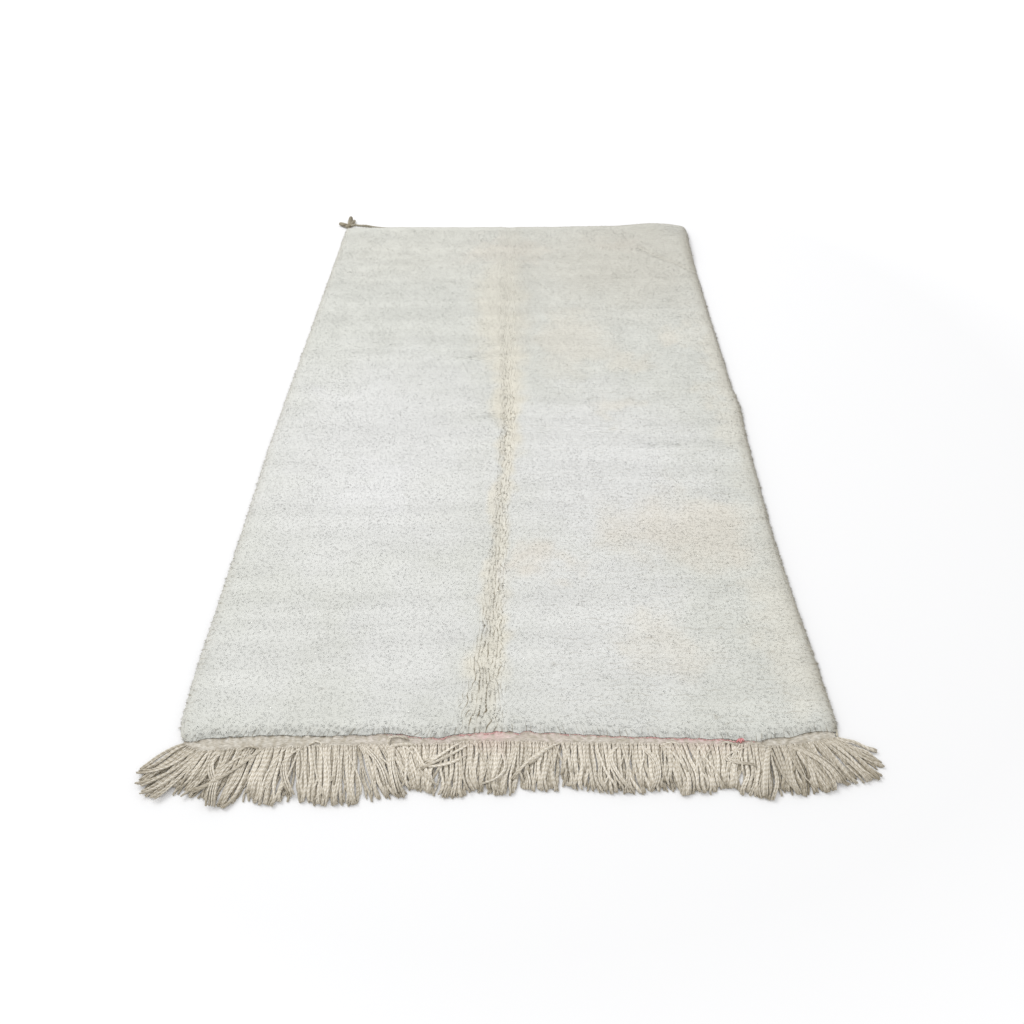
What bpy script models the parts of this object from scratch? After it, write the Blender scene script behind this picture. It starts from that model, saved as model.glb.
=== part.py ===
"""Beni Ourain rug, lying flat: knotted wool pile, kilim band, warp fringe, selvedges and corner tassel.

Metres, +Z up. X runs across the rug and Y along it, with the fringe at the -Y end. The origin is on the
floor under the middle of the pile. Every solid lies on the floor plane z = 0 or on a raised fold of the rug.
"""

import math
import random

import bmesh
import bpy
from mathutils import Vector, noise

# ---------------------------------------------------------------- driving dimensions

PILE_TOP = 0.0200          # foundation and pile together
PILE_LUMP = 0.0030         # how far a lump of pile stands above or below the mean
LUMP_SPACING = 0.047
BROAD_WAVE = 0.0018        # slow unevenness of the whole field
BROAD_SPACING = 0.42
WALL_HEIGHT = 0.0077       # woven edge under the overhanging pile
BAND_HEIGHT = 0.0050
BAND_FRONT_HEIGHT = 0.0046
WALL_INSET = 0.0090        # woven edge, inside the pile's outline
CORNER_WEAR = 0.0110       # how far the far-right corner is rounded off, each way
SEAT_GAP = 0.0003          # between pieces that touch

HALF_FIELD = 0.70          # from the crease's columns to a long edge
GRID_STEP_X = 0.066
GRID_STEP_Y = 0.058
JITTER = 0.009             # sideways scatter of the pile's lumps
CREASE_COLUMNS = (-0.060, -0.036, -0.018, -0.004, 0.010, 0.026, 0.052)
TRANSVERSE_ROW = 0.014     # rows either side of a cross crease
CROSS_HALF_WIDTH = 0.0126
CROSS_RUN_OUT = 1.4        # a cross crease starts to run out this share of its half length before its end

STRAND_ROOTS = 96          # locks in the lower layer of the fringe
UPPER_STRANDS = 68         # locks lying over them
STRIP_DEPTH = 0.0100
LOWER_HEIGHT = 0.0038
LAYER_GAP = 0.0006
STRAND_WIDTH = 0.0130
STRAND_TIP_WIDTH = 0.0080
UPPER_WIDTH = 0.88         # width of an upper lock as a share of a lower one's
LOCK_TOP_WIDTH = 0.62      # width of a lock's top as a share of its foot
TIP_THINNING = 0.62        # height of a lock's tip as a share of its root
STRAND_STATIONS = (0.10, 0.40, 0.72, 1.0)
LENGTH_SCATTER = 0.04
UPPER_SHORTER = 0.010
CROSSING = 0.07            # how much more an upper lock leans than the ones under it
LEAN_SHARES = (0.60, -0.50)  # of the group's lean, for the lower and the upper layer
GATHER = 0.22              # how much a group's locks draw together
ROOT_HEADING = 0.45        # share of a lock's heading that it already has at its root
WANDER = 0.05
FAN_START = 0.50           # where the fringe starts to splay towards the corners
FAN_END = 0.745
FAN_EASE = 1.7
FAN_ANGLE_LEFT = math.radians(50)
FAN_ANGLE_RIGHT = math.radians(60)

RIM_LOCKS = 118
LOCK_REACH = 0.0100
LOCK_WIDTH = 0.0340
LOCK_TAPER = 0.60
LOCK_DROOP = 0.0018
LOCK_SWAY = 0.0050
LOCK_MARGIN = 0.0012       # from a lock's root to the edge of its face

SELVEDGE_RADIUS = 0.0035
LIFT_STEP = 0.045          # between a cord's points where the rug arches
FAR_CORD_RADIUS = 0.0040
KNOT_RADIUS = 0.0125
KNOT_LUMP = 0.10
STUB_STATIONS = 7
STUB_RIPPLE = 0.07
STUB_TIP = 0.62            # a stub's last radius as a share of its girth

# ---------------------------------------------------------------- the rug's plan and folds, as short tables

# Long edges: y, x of the left edge, x of the right edge
LONG_EDGES = (
    (-1.300, -0.764, 0.760),
    (-1.235, -0.764, 0.760),
    (-1.180, -0.768, 0.760),
    (-1.100, -0.769, 0.757),
    (-0.850, -0.770, 0.747),
    (-0.600, -0.769, 0.740),
    (-0.200, -0.770, 0.746),
    (-0.030, -0.767, 0.754),
    (0.080, -0.765, 0.747),
    (0.500, -0.755, 0.742),
    (0.900, -0.747, 0.740),
    (1.265, -0.740, 0.738),
)

# End edges: x, y of the near edge, y of the far edge
END_EDGES = (
    (-0.790, -1.247, 1.264),
    (-0.680, -1.244, 1.270),
    (-0.540, -1.235, 1.269),
    (-0.300, -1.231, 1.264),
    (-0.040, -1.228, 1.258),
    (0.120, -1.227, 1.258),
    (0.240, -1.235, 1.259),
    (0.480, -1.243, 1.265),
    (0.600, -1.245, 1.270),
    (0.700, -1.233, 1.265),
    (0.790, -1.225, 1.262),
)

# Front line of the kilim band: x, y
BAND_FRONT = (
    (-0.790, -1.276),
    (-0.640, -1.270),
    (-0.500, -1.259),
    (-0.130, -1.253),
    (0.000, -1.251),
    (0.210, -1.253),
    (0.560, -1.256),
    (0.690, -1.248),
    (0.790, -1.238),
)

# Lengthwise fold line: y, x of the parting, depth, half width
CREASE = (
    (-1.300, -0.042, 0.0060, 0.042),
    (-1.000, -0.036, 0.0055, 0.034),
    (-0.700, -0.034, 0.0050, 0.026),
    (-0.400, -0.024, 0.0055, 0.024),
    (-0.050, -0.012, 0.0060, 0.028),
    (0.300, -0.018, 0.0040, 0.034),
    (0.700, -0.022, 0.0030, 0.036),
    (1.050, -0.020, 0.0022, 0.036),
    (1.300, -0.018, 0.0012, 0.036),
)

# Short creases across the rug: y at its middle, first x, last x, depth
CROSS_CREASES = (
    (0.250, -0.215, -0.055, 0.0030),
    (-0.076, -0.135, 0.000, 0.0040),
    (-0.140, 0.010, 0.350, 0.0022),
    (-0.228, 0.390, 0.560, 0.0036),
)

# Places where the rug arches clear of the floor: start and end of the ridge line, half width, height
LIFTS = (
    ((0.560, 1.300), (0.790, 1.010), 0.130, 0.0190),
    ((0.770, 0.030), (0.790, -0.070), 0.055, 0.0075),
)

# Rim of the pile, from its top to the floor. Insets are from the outline, heights above the floor, for
# the long sides, the near end and the far end
RIM = (
    ("crown", (0.0250, 0.0250, 0.0300), (PILE_TOP, PILE_TOP, PILE_TOP)),
    ("shoulder", (0.0110, 0.0100, 0.0150), (0.0162, 0.0160, 0.0160)),
    ("belly", (0.0030, 0.0020, 0.0085), (0.0110, 0.0104, 0.0116)),
    ("lip", (0.0045, 0.0045, 0.0095), (0.0080, 0.0066, 0.0094)),
    ("wall_top", (WALL_INSET,) * 3, (WALL_HEIGHT, BAND_HEIGHT, WALL_HEIGHT)),
    ("wall_foot", (WALL_INSET,) * 3, (0.0, 0.0, 0.0)),
)
RIM_SCALLOP = {"crown": 0.0030, "shoulder": 0.0030, "belly": 0.0024}

# Groups of fringe locks that lie together: x where the group starts, length, lean of its tips
FRINGE_GROUPS = (
    (-0.760, 0.120, 0.00),
    (-0.690, 0.128, -0.10),
    (-0.640, 0.142, 0.06),
    (-0.560, 0.132, -0.05),
    (-0.490, 0.144, 0.12),
    (-0.420, 0.146, -0.08),
    (-0.350, 0.134, 0.10),
    (-0.270, 0.118, -0.12),
    (-0.200, 0.130, -0.16),
    (-0.130, 0.126, 0.14),
    (-0.050, 0.128, -0.10),
    (0.030, 0.118, 0.08),
    (0.110, 0.116, -0.10),
    (0.190, 0.124, 0.12),
    (0.270, 0.120, -0.06),
    (0.350, 0.125, 0.10),
    (0.430, 0.114, -0.08),
    (0.510, 0.130, 0.06),
    (0.590, 0.126, -0.02),
    (0.660, 0.134, 0.04),
    (0.720, 0.112, 0.05),
)

# Far cord: x, swelling of its radius, how far it strays from its seat. It is thick and lumpy by the tassel
FAR_CORD_LUMPS = (
    (-0.7162, 1.45, 0.0200),
    (-0.7000, 1.60, 0.0220),
    (-0.6820, 1.30, 0.0190),
    (-0.6640, 1.55, 0.0150),
    (-0.6450, 1.65, 0.0110),
    (-0.6250, 1.30, 0.0080),
    (-0.6000, 1.10, 0.0040),
    (-0.5700, 1.00, 0.0),
    (-0.3500, 1.00, 0.0),
    (0.0000, 1.00, 0.0),
    (0.3500, 1.00, 0.0),
    (0.4400, 1.00, 0.0),
    (0.5000, 1.00, 0.0),
    (0.5600, 1.00, 0.0),
    (0.5900, 1.00, 0.0008),
    (0.6200, 1.00, 0.0012),
    (0.6500, 0.98, 0.0008),
    (0.6800, 0.95, 0.0),
)

# Stubs of the corner tassel: name, its base radius, its route from the knot
TASSEL_KNOT = Vector((-0.7282, 1.2875, KNOT_RADIUS))
TASSEL_STUBS = (
    ("side", 0.0085, ((-0.735, 1.291, 0.0100), (-0.754, 1.303, 0.0092), (-0.777, 1.317, 0.0088))),
    ("back", 0.0100, ((-0.729, 1.296, 0.0120), (-0.731, 1.322, 0.0110), (-0.736, 1.366, 0.0104))),
    ("lobe", 0.0070, ((-0.728, 1.297, 0.0110), (-0.717, 1.314, 0.0085), (-0.709, 1.342, 0.0074))),
)

# Finish: name, colour, roughness
IVORY_PILE = ("ivory_pile", (0.72, 0.715, 0.66), 0.95)
WARP_YARN = ("warp_yarn", (0.53, 0.48, 0.39), 0.92)
EDGE_CORD = ("edge_cord", (0.36, 0.34, 0.29), 0.92)
TASSEL_WOOL = ("tassel_wool", (0.46, 0.43, 0.34), 0.94)

COLLECTION_NAME = "beni_ourain_rug"
LUMP_SEED = 11
RIM_SEED = 25
FRINGE_SEED = 47


# ---------------------------------------------------------------- small helpers

def clamp(value, low=0.0, high=1.0):
    """Keep a value between two limits."""
    return max(low, min(high, value))


def ease(value):
    """Smooth step from 0 to 1."""
    value = clamp(value)
    return value * value * (3.0 - 2.0 * value)


def mix(first, last, share):
    """Point a share of the way from first to last."""
    return first + (last - first) * share


def read_table(table, key, column):
    """Value of a table's column at key, straight between its rows."""
    if key <= table[0][0]:
        return table[0][column]
    for row, following in zip(table, table[1:]):
        if key <= following[0]:
            share = (key - row[0]) / (following[0] - row[0])
            return mix(row[column], following[column], share)
    return table[-1][column]


def left_edge(y):
    return read_table(LONG_EDGES, y, 1)


def right_edge(y):
    return read_table(LONG_EDGES, y, 2)


def near_edge(x):
    return read_table(END_EDGES, x, 1)


def far_edge(x):
    return read_table(END_EDGES, x, 2)


def band_front(x):
    return read_table(BAND_FRONT, x, 1)


# ---------------------------------------------------------------- heights

def floor_lift(x, y):
    """Height of the rug's underside: zero but where a fold arches off the floor."""
    height = 0.0
    for start, end, half_width, rise in LIFTS:
        ridge = Vector(end) - Vector(start)
        offset = Vector((x, y)) - Vector(start)
        share = clamp(offset.dot(ridge) / ridge.length_squared)
        distance = (offset - ridge * share).length
        height += rise * ease(1.0 - distance / half_width)
    return height


def crease_depth(x, y):
    """How far the parted pile lies below the field along the fold lines."""
    centre = read_table(CREASE, y, 1)
    depth = read_table(CREASE, y, 2)
    half_width = read_table(CREASE, y, 3)
    total = depth * ease(1.0 - abs(x - centre) / half_width)
    for cross_y, first_x, last_x, cross_depth in CROSS_CREASES:
        if abs(y - cross_y) < CROSS_HALF_WIDTH:
            middle = 0.5 * (first_x + last_x)
            half_length = 0.5 * (last_x - first_x)
            total += cross_depth * ease(CROSS_RUN_OUT - abs(x - middle) / half_length)
    return total


def lumps(x, y):
    """Unevenness of the pile's top."""
    fine = noise.noise(Vector((x / LUMP_SPACING, y / LUMP_SPACING, LUMP_SEED)))
    broad = noise.noise(Vector((x / BROAD_SPACING, y / BROAD_SPACING, LUMP_SEED + 5)))
    return 2.0 * PILE_LUMP * fine + 2.0 * BROAD_WAVE * broad


def pile_height(x, y):
    return PILE_TOP + floor_lift(x, y) + lumps(x, y) - crease_depth(x, y)


# ---------------------------------------------------------------- the field's plan

def grid_columns():
    """Columns as (zone, value): shares of the left part, metres from the crease, shares of the right part."""
    side_count = round(HALF_FIELD / GRID_STEP_X)
    left = [("left", index / side_count) for index in range(side_count)]
    crease = [("crease", offset) for offset in CREASE_COLUMNS]
    right = [("right", (index + 1) / side_count) for index in range(side_count)]
    return left + crease + right


def grid_rows():
    """Rows as shares of the length: three at each cross crease, one at each bend of a long edge, others even."""
    near = near_edge(right_edge(0.0))
    length = far_edge(right_edge(0.0)) - near
    placed = []
    for crease_y, _, _, _ in CROSS_CREASES:
        placed += [crease_y - TRANSVERSE_ROW, crease_y, crease_y + TRANSVERSE_ROW]
    bends = [row[0] for row in LONG_EDGES if near < row[0] < near + length]
    placed += [y for y in bends if all(abs(y - other) > 0.5 * TRANSVERSE_ROW for other in placed)]
    end_room = 0.6 * GRID_STEP_Y
    shares = [(y - near) / length for y in placed if near + end_room < y < near + length - end_room]
    count = round(length / GRID_STEP_Y)
    clear = 0.45 * GRID_STEP_Y / length
    even = [index / count for index in range(count + 1)]
    kept = [share for share in even if all(abs(share - other) > clear for other in shares)]
    return sorted(kept + shares)


def plan_point(column, share, insets):
    """Plan position of a grid point, with the outline drawn in by insets (side, near, far)."""
    zone, value = column
    side_inset, near_inset, far_inset = insets
    y = mix(near_edge(0.0) + near_inset, far_edge(0.0) - far_inset, share)
    for _ in range(3):
        crease_x = read_table(CREASE, y, 1)
        if zone == "left":
            x = mix(left_edge(y) + side_inset, crease_x + CREASE_COLUMNS[0], value)
        elif zone == "right":
            x = mix(crease_x + CREASE_COLUMNS[-1], right_edge(y) - side_inset, value)
        else:
            x = crease_x + value
        y = mix(near_edge(x) + near_inset, far_edge(x) - far_inset, share)
    at_worn_corner = column == ("right", 1.0) and share == 1.0
    return (x - CORNER_WEAR, y - CORNER_WEAR) if at_worn_corner else (x, y)


def rim_height(heights, x, y, on_side, on_far):
    """Height of a rim ring above the floor, the long sides' value taking in the corners."""
    side_height, near_height, far_height = heights
    if on_side:
        base = side_height
    elif on_far:
        base = far_height
    else:
        base = near_height
    return base + floor_lift(x, y)


# ---------------------------------------------------------------- rug field

def make_grid(bm, columns, rows):
    """A flat grid of the given columns and rows, as a dictionary of its points by place."""
    bmesh.ops.create_grid(bm, x_segments=len(columns) - 1, y_segments=len(rows) - 1, size=0.5)
    bm.verts.ensure_lookup_table()
    places = {}
    for vert in bm.verts:
        column = round((vert.co.x + 0.5) * (len(columns) - 1))
        row = round((vert.co.y + 0.5) * (len(rows) - 1))
        places[column, row] = vert
    return places


def shape_top(places, columns, rows, scatter):
    """Move the grid's points to the pile's lumpy top."""
    crown = RIM[0]
    for (column, row), vert in places.items():
        x, y = plan_point(columns[column], rows[row], crown[1])
        inside = 0 < column < len(columns) - 1 and 0 < row < len(rows) - 1
        if inside and columns[column][0] != "crease":
            tight = min(abs(y - crease[0]) for crease in CROSS_CREASES) < 2.5 * TRANSVERSE_ROW
            x += scatter.uniform(-JITTER, JITTER)
            y += 0.0 if tight else scatter.uniform(-JITTER, JITTER)
        vert.co = (x, y, pile_height(x, y))


def extend_rim(bm, places, columns, rows, scatter):
    """Grow the rim rings down from the top's edge and return the faces of the pile's flank."""
    last_column = len(columns) - 1
    last_row = len(rows) - 1
    ring = {place: vert for place, vert in places.items()
            if place[0] in (0, last_column) or place[1] in (0, last_row)}
    flank = []
    for name, insets, heights in RIM[1:]:
        inner = {vert: place for place, vert in ring.items()}
        edges = [edge for edge in bm.edges
                 if edge.is_boundary and edge.verts[0] in inner and edge.verts[1] in inner]
        made = bmesh.ops.extrude_edge_only(bm, edges=edges)["geom"]
        if name == "belly":
            flank = [item for item in made if isinstance(item, bmesh.types.BMFace)]
        outer = {}
        for vert in (item for item in made if isinstance(item, bmesh.types.BMVert)):
            source = next(edge.other_vert(vert) for edge in vert.link_edges if edge.other_vert(vert) in inner)
            place = inner[source]
            outer[place] = vert
            x, y = plan_point(columns[place[0]], rows[place[1]], insets)
            on_side = place[0] in (0, last_column)
            z = rim_height(heights, x, y, on_side, place[1] == last_row)
            scallop = RIM_SCALLOP.get(name, 0.0)
            if scallop and not on_side:
                y += scatter.uniform(-scallop, scallop) * 0.5
            elif scallop and 0 < place[1] < last_row:
                x += scatter.uniform(-scallop, scallop) * 0.5
            if scallop:
                z += 0.4 * scatter.uniform(-scallop, scallop)
            vert.co = (x, y, z)
        ring = outer
    bm.normal_update()
    return flank


def close_underside(bm, columns, rows):
    """Close the field below with a sheet that is flat on the floor and arches where the rug does."""
    underside = bmesh.new()
    places = make_grid(underside, columns, rows)
    for (column, row), vert in places.items():
        x, y = plan_point(columns[column], rows[row], RIM[-1][1])
        vert.co = (x, y, floor_lift(x, y))
    bmesh.ops.reverse_faces(underside, faces=underside.faces)
    on_floor = [face for face in underside.faces if all(vert.co.z == 0.0 for vert in face.verts)]
    bmesh.ops.dissolve_faces(underside, faces=on_floor, use_verts=False)
    sheet = bpy.data.meshes.new("underside")
    underside.to_mesh(sheet)
    underside.free()
    bm.from_mesh(sheet)
    bpy.data.meshes.remove(sheet)
    bmesh.ops.remove_doubles(bm, verts=bm.verts, dist=1e-5)
    bmesh.ops.recalc_face_normals(bm, faces=bm.faces)
    bm.normal_update()


def weave_band(bm):
    """Draw the near end's woven edge out into the flat kilim band."""
    wall = []
    for face in bm.faces:
        heights = [vert.co.z for vert in face.verts]
        stands_on_floor = min(heights) == 0.0 and max(heights) < 1.1 * BAND_HEIGHT
        if stands_on_floor and face.normal.y < -0.7:
            wall.append(face)
    made = bmesh.ops.extrude_face_region(bm, geom=wall)["geom"]
    bmesh.ops.delete(bm, geom=wall, context="FACES")
    for vert in (item for item in made if isinstance(item, bmesh.types.BMVert)):
        vert.co.y = band_front(vert.co.x)
        if vert.co.z > 0.0:
            vert.co.z = BAND_FRONT_HEIGHT


def grow_rim_locks(bm, flank, scatter):
    """Stand locks of pile out from the rim's flank."""
    flank = [face for face in flank if max(edge.calc_length() for edge in face.edges) > 1.15 * LOCK_WIDTH]
    flank.sort(key=lambda face: (round(face.calc_center_median().x, 4), round(face.calc_center_median().y, 4)))
    chosen = scatter.sample(flank, min(RIM_LOCKS, len(flank)))
    bmesh.ops.inset_individual(bm, faces=chosen, thickness=LOCK_MARGIN)
    for face in chosen:
        centre = face.calc_center_median()
        longest = max(face.edges, key=lambda edge: edge.calc_length())
        along = (longest.verts[1].co - longest.verts[0].co).normalized()
        widest = max(abs((vert.co - centre).dot(along)) for vert in face.verts)
        narrow = min(1.0, 0.5 * LOCK_WIDTH * scatter.uniform(0.75, 1.15) / widest)
        for vert in face.verts:
            reach = (vert.co - centre).dot(along)
            vert.co -= along * reach * (1.0 - narrow)
    tips = bmesh.ops.extrude_discrete_faces(bm, faces=chosen)["faces"]
    for tip in tips:
        centre = tip.calc_center_median()
        outward = Vector((tip.normal.x, tip.normal.y, 0.0)).normalized()
        along = Vector((-outward.y, outward.x, 0.0))
        reach = LOCK_REACH * scatter.uniform(0.8, 1.3)
        move = outward * reach + along * scatter.uniform(-LOCK_SWAY, LOCK_SWAY)
        move.z = -LOCK_DROOP * scatter.uniform(0.0, 1.0)
        for vert in tip.verts:
            vert.co = centre + (vert.co - centre) * LOCK_TAPER + move


def build_rug_field(collection):
    """Pile, foundation and kilim band as one cloth."""
    columns = grid_columns()
    rows = grid_rows()
    scatter = random.Random(RIM_SEED)
    bm = bmesh.new()
    places = make_grid(bm, columns, rows)
    shape_top(places, columns, rows, scatter)
    flank = extend_rim(bm, places, columns, rows, scatter)
    grow_rim_locks(bm, flank, scatter)
    close_underside(bm, columns, rows)
    weave_band(bm)
    bmesh.ops.recalc_face_normals(bm, faces=bm.faces)
    return add_mesh(collection, "rug_field", bm, IVORY_PILE, smooth=True)


# ---------------------------------------------------------------- fringe

def strip_line(x):
    """Line in front of the band, where the header strip starts."""
    return band_front(x) - SEAT_GAP


def band_columns():
    """X positions of the band's front points, which the strip's back follows."""
    return [plan_point(column, 0.0, RIM[-1][1])[0] for column in grid_columns()]


def strand_columns():
    """X positions of the strip's front points: a gap, a root, a gap and so on."""
    first, *_, last = band_columns()
    pitch = (last - first) / STRAND_ROOTS
    columns = [first]
    for index in range(STRAND_ROOTS):
        middle = first + (index + 0.5) * pitch
        half = 0.5 * STRAND_WIDTH * fan_narrowing(middle)
        columns += [middle - half, middle + half]
    columns.append(last)
    return columns


def fan_heading(x):
    """Heading of a lock, turned from -Y towards the nearer corner."""
    share = clamp((abs(x) - FAN_START) / (FAN_END - FAN_START))
    angle = FAN_ANGLE_LEFT if x < 0.0 else FAN_ANGLE_RIGHT
    return math.copysign(angle * share ** FAN_EASE, x)


def fan_narrowing(x):
    """Locks that splay stand closer side by side, so they are narrower."""
    return math.cos(fan_heading(x)) ** 0.9


def build_header_strip(bm):
    """The narrow strip that the locks grow from; returns the lower and upper root faces in order."""
    columns = strand_columns()
    levels = (0.0, LOWER_HEIGHT, LOWER_HEIGHT + LAYER_GAP, 2.0 * LOWER_HEIGHT + LAYER_GAP)
    front = [[bm.verts.new((x, strip_line(x) - STRIP_DEPTH, z)) for x in columns] for z in levels]
    back_x = band_columns()
    back = [[bm.verts.new((x, strip_line(x), z)) for x in back_x] for z in (levels[0], levels[-1])]
    roots = {0: [], 2: []}
    for level in range(len(levels) - 1):
        for index in range(len(columns) - 1):
            face = bm.faces.new((front[level][index], front[level][index + 1],
                                 front[level + 1][index + 1], front[level + 1][index]))
            if level in roots and index % 2 == 1:
                roots[level].append(face)
    bm.faces.new(back[0] + front[0][::-1])
    bm.faces.new(front[-1] + back[1][::-1])
    for index in range(len(back_x) - 1):
        bm.faces.new((back[0][index + 1], back[0][index], back[1][index], back[1][index + 1]))
    bm.faces.new([row[0] for row in front[::-1]] + [back[0][0], back[1][0]])
    bm.faces.new([row[-1] for row in front] + [back[1][-1], back[0][-1]])
    return roots[0], roots[2]


def fringe_group(x):
    """Index of the group of locks that a root belongs to."""
    found = 0
    for index, row in enumerate(FRINGE_GROUPS):
        if x >= row[0]:
            found = index
    return found


def group_middle(index):
    """X of the middle of a group's roots."""
    first = FRINGE_GROUPS[index][0]
    last = FRINGE_GROUPS[index + 1][0] if index + 1 < len(FRINGE_GROUPS) else -FRINGE_GROUPS[0][0]
    return 0.5 * (first + last)


def lock_route(x, layer, scatter):
    """Plan route of a lock, as (x, y, heading) at its stations after the root."""
    group = fringe_group(x)
    _, length, lean = FRINGE_GROUPS[group]
    reach = length - STRIP_DEPTH - UPPER_SHORTER * layer
    reach *= 1.0 + LENGTH_SCATTER * scatter.uniform(-1.0, 1.0)
    gather = GATHER * (group_middle(group) - x) / length
    crossing = -CROSSING * layer * clamp(4.0 * x, -1.0, 1.0)
    tip_heading = fan_heading(x) + LEAN_SHARES[layer] * lean + crossing + gather
    route = []
    position = Vector((x, strip_line(x) - STRIP_DEPTH))
    before = 0.0
    for station in STRAND_STATIONS:
        wander = WANDER * math.sin(7.0 * station + 1.9 * group + layer)
        heading = tip_heading * mix(ROOT_HEADING, 1.0, station) + wander
        position = position + Vector((math.sin(heading), -math.cos(heading))) * reach * (station - before)
        route.append((position.x, position.y, heading))
        before = station
    return route


def grow_lock(bm, root, layer, scatter):
    """Draw a root face out into a tapering four-sided lock that lies level."""
    middle = root.calc_center_median()
    base = layer * (LOWER_HEIGHT + LAYER_GAP)
    width = STRAND_WIDTH * (UPPER_WIDTH if layer else 1.0) * fan_narrowing(middle.x)
    corners = [(vert.co.x > middle.x, vert.co.z > middle.z) for vert in root.verts]
    face = root
    for (x, y, heading), station in zip(lock_route(middle.x, layer, scatter), STRAND_STATIONS):
        face = bmesh.ops.extrude_discrete_faces(bm, faces=[face])["faces"][0]
        half = 0.5 * mix(width, STRAND_TIP_WIDTH, station ** 1.6)
        height = LOWER_HEIGHT * mix(1.0, TIP_THINNING, station)
        across = Vector((math.cos(heading), math.sin(heading)))
        for vert, (is_right, is_high) in zip(face.verts, corners):
            spread = half * (LOCK_TOP_WIDTH if is_high else 1.0)
            side = spread if is_right else -spread
            vert.co = (x + across.x * side, y + across.y * side, base + (height if is_high else 0.0))


def build_near_fringe(collection):
    """Header strip with two layers of warp locks, fused to it at their roots."""
    scatter = random.Random(FRINGE_SEED)
    bm = bmesh.new()
    lower, upper = build_header_strip(bm)
    for root in lower:
        grow_lock(bm, root, 0, scatter)
    picked = sorted(scatter.sample(range(len(upper)), UPPER_STRANDS))
    for index in picked:
        grow_lock(bm, upper[index], 1, scatter)
    bmesh.ops.recalc_face_normals(bm, faces=bm.faces)
    return add_mesh(collection, "near_fringe", bm, WARP_YARN, smooth=False)


# ---------------------------------------------------------------- cords and tassel

def add_tube(collection, name, points, radii, finish):
    """A cord as a round tube along a line of points, one radius a point."""
    curve = bpy.data.curves.new(name, "CURVE")
    curve.dimensions = "3D"
    curve.bevel_depth = max(radii)
    curve.bevel_resolution = 2
    curve.use_fill_caps = True
    spline = curve.splines.new("POLY")
    spline.points.add(len(points) - 1)
    for point, place, radius in zip(spline.points, points, radii):
        point.co = (*place, 1.0)
        point.radius = radius / curve.bevel_depth
    tube = bpy.data.objects.new(name, curve)
    curve.materials.append(make_finish(*finish))
    collection.objects.link(tube)
    return tube


def build_selvedge(collection, name, edge, inward):
    """Overcast cord along a long edge, tucked under the pile and running on beside the band."""
    offset = inward * (WALL_INSET - SEAT_GAP - SELVEDGE_RADIUS)
    first = strip_line(edge(-1.2))
    last = far_edge(edge(1.2)) - WALL_INSET - SELVEDGE_RADIUS
    stations = [first] + [row[0] for row in LONG_EDGES if first < row[0] < last] + [last]
    for start, end, half_width, _ in LIFTS:
        if start[0] * inward < 0.0:
            low = min(start[1], end[1]) - half_width
            high = min(last, max(start[1], end[1]) + half_width)
            count = max(2, round((high - low) / LIFT_STEP))
            stations += [mix(low, high, index / count) for index in range(count + 1)]
    points = []
    for y in sorted(set(round(station, 4) for station in stations)):
        x = edge(y) + offset
        points.append((x, y, SELVEDGE_RADIUS + floor_lift(x, y)))
    return add_tube(collection, name, points, [SELVEDGE_RADIUS] * len(points), EDGE_CORD)


def build_far_cord(collection):
    """Twined cord that closes the far edge, against the outside of the woven edge."""
    points = []
    radii = []
    for x, swelling, stray in FAR_CORD_LUMPS:
        radius = FAR_CORD_RADIUS * swelling
        y = far_edge(x) - WALL_INSET + SEAT_GAP + radius + stray
        points.append((x, y, radius + floor_lift(x, y)))
        radii.append(radius)
    return add_tube(collection, "far_end_cord", points, radii, EDGE_CORD)


def solid_from_tube(tube):
    """Turn a tube into a closed mesh that a union can use."""
    graph = bpy.context.evaluated_depsgraph_get()
    mesh = bpy.data.meshes.new_from_object(tube.evaluated_get(graph))
    bm = bmesh.new()
    bm.from_mesh(mesh)
    bmesh.ops.remove_doubles(bm, verts=bm.verts, dist=1e-6)
    bmesh.ops.recalc_face_normals(bm, faces=bm.faces)
    bm.to_mesh(mesh)
    bm.free()
    solid = bpy.data.objects.new(tube.name + "_solid", mesh)
    solid.matrix_world = tube.matrix_world
    bpy.data.objects.remove(tube)
    return solid


def build_corner_tassel(collection, cutters):
    """Knot at the far-left corner with three short stubs of warp ends."""
    bm = bmesh.new()
    bmesh.ops.create_icosphere(bm, subdivisions=2, radius=KNOT_RADIUS)
    for vert in bm.verts:
        swell = 1.0 + KNOT_LUMP * noise.noise(vert.co / (0.6 * KNOT_RADIUS))
        vert.co = TASSEL_KNOT + vert.co * swell
        vert.co.z = max(vert.co.z, 0.0)
    knot = add_mesh(collection, "corner_tassel", bm, TASSEL_WOOL, smooth=True)
    for name, radius, route in TASSEL_STUBS:
        points = []
        radii = []
        first, middle, last = (Vector(place) for place in route)
        for index in range(STUB_STATIONS + 1):
            share = index / STUB_STATIONS
            place = mix(mix(first, middle, share), mix(middle, last, share), share)
            ripple = 1.0 + STUB_RIPPLE * math.sin(2.6 * index)
            rounding = STUB_TIP if index == STUB_STATIONS else 1.0
            girth = radius * ripple * rounding
            place.z = girth
            points.append(place)
            radii.append(girth)
        stub = solid_from_tube(add_tube(collection, "stub_" + name, points, radii, TASSEL_WOOL))
        cutters.objects.link(stub)
        stub.hide_render = True
        stub.display_type = "WIRE"
        union = knot.modifiers.new("join_" + name, "BOOLEAN")
        union.operation = "UNION"
        union.solver = "EXACT"
        union.object = stub
    return knot


# ---------------------------------------------------------------- finishes and assembly

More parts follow.
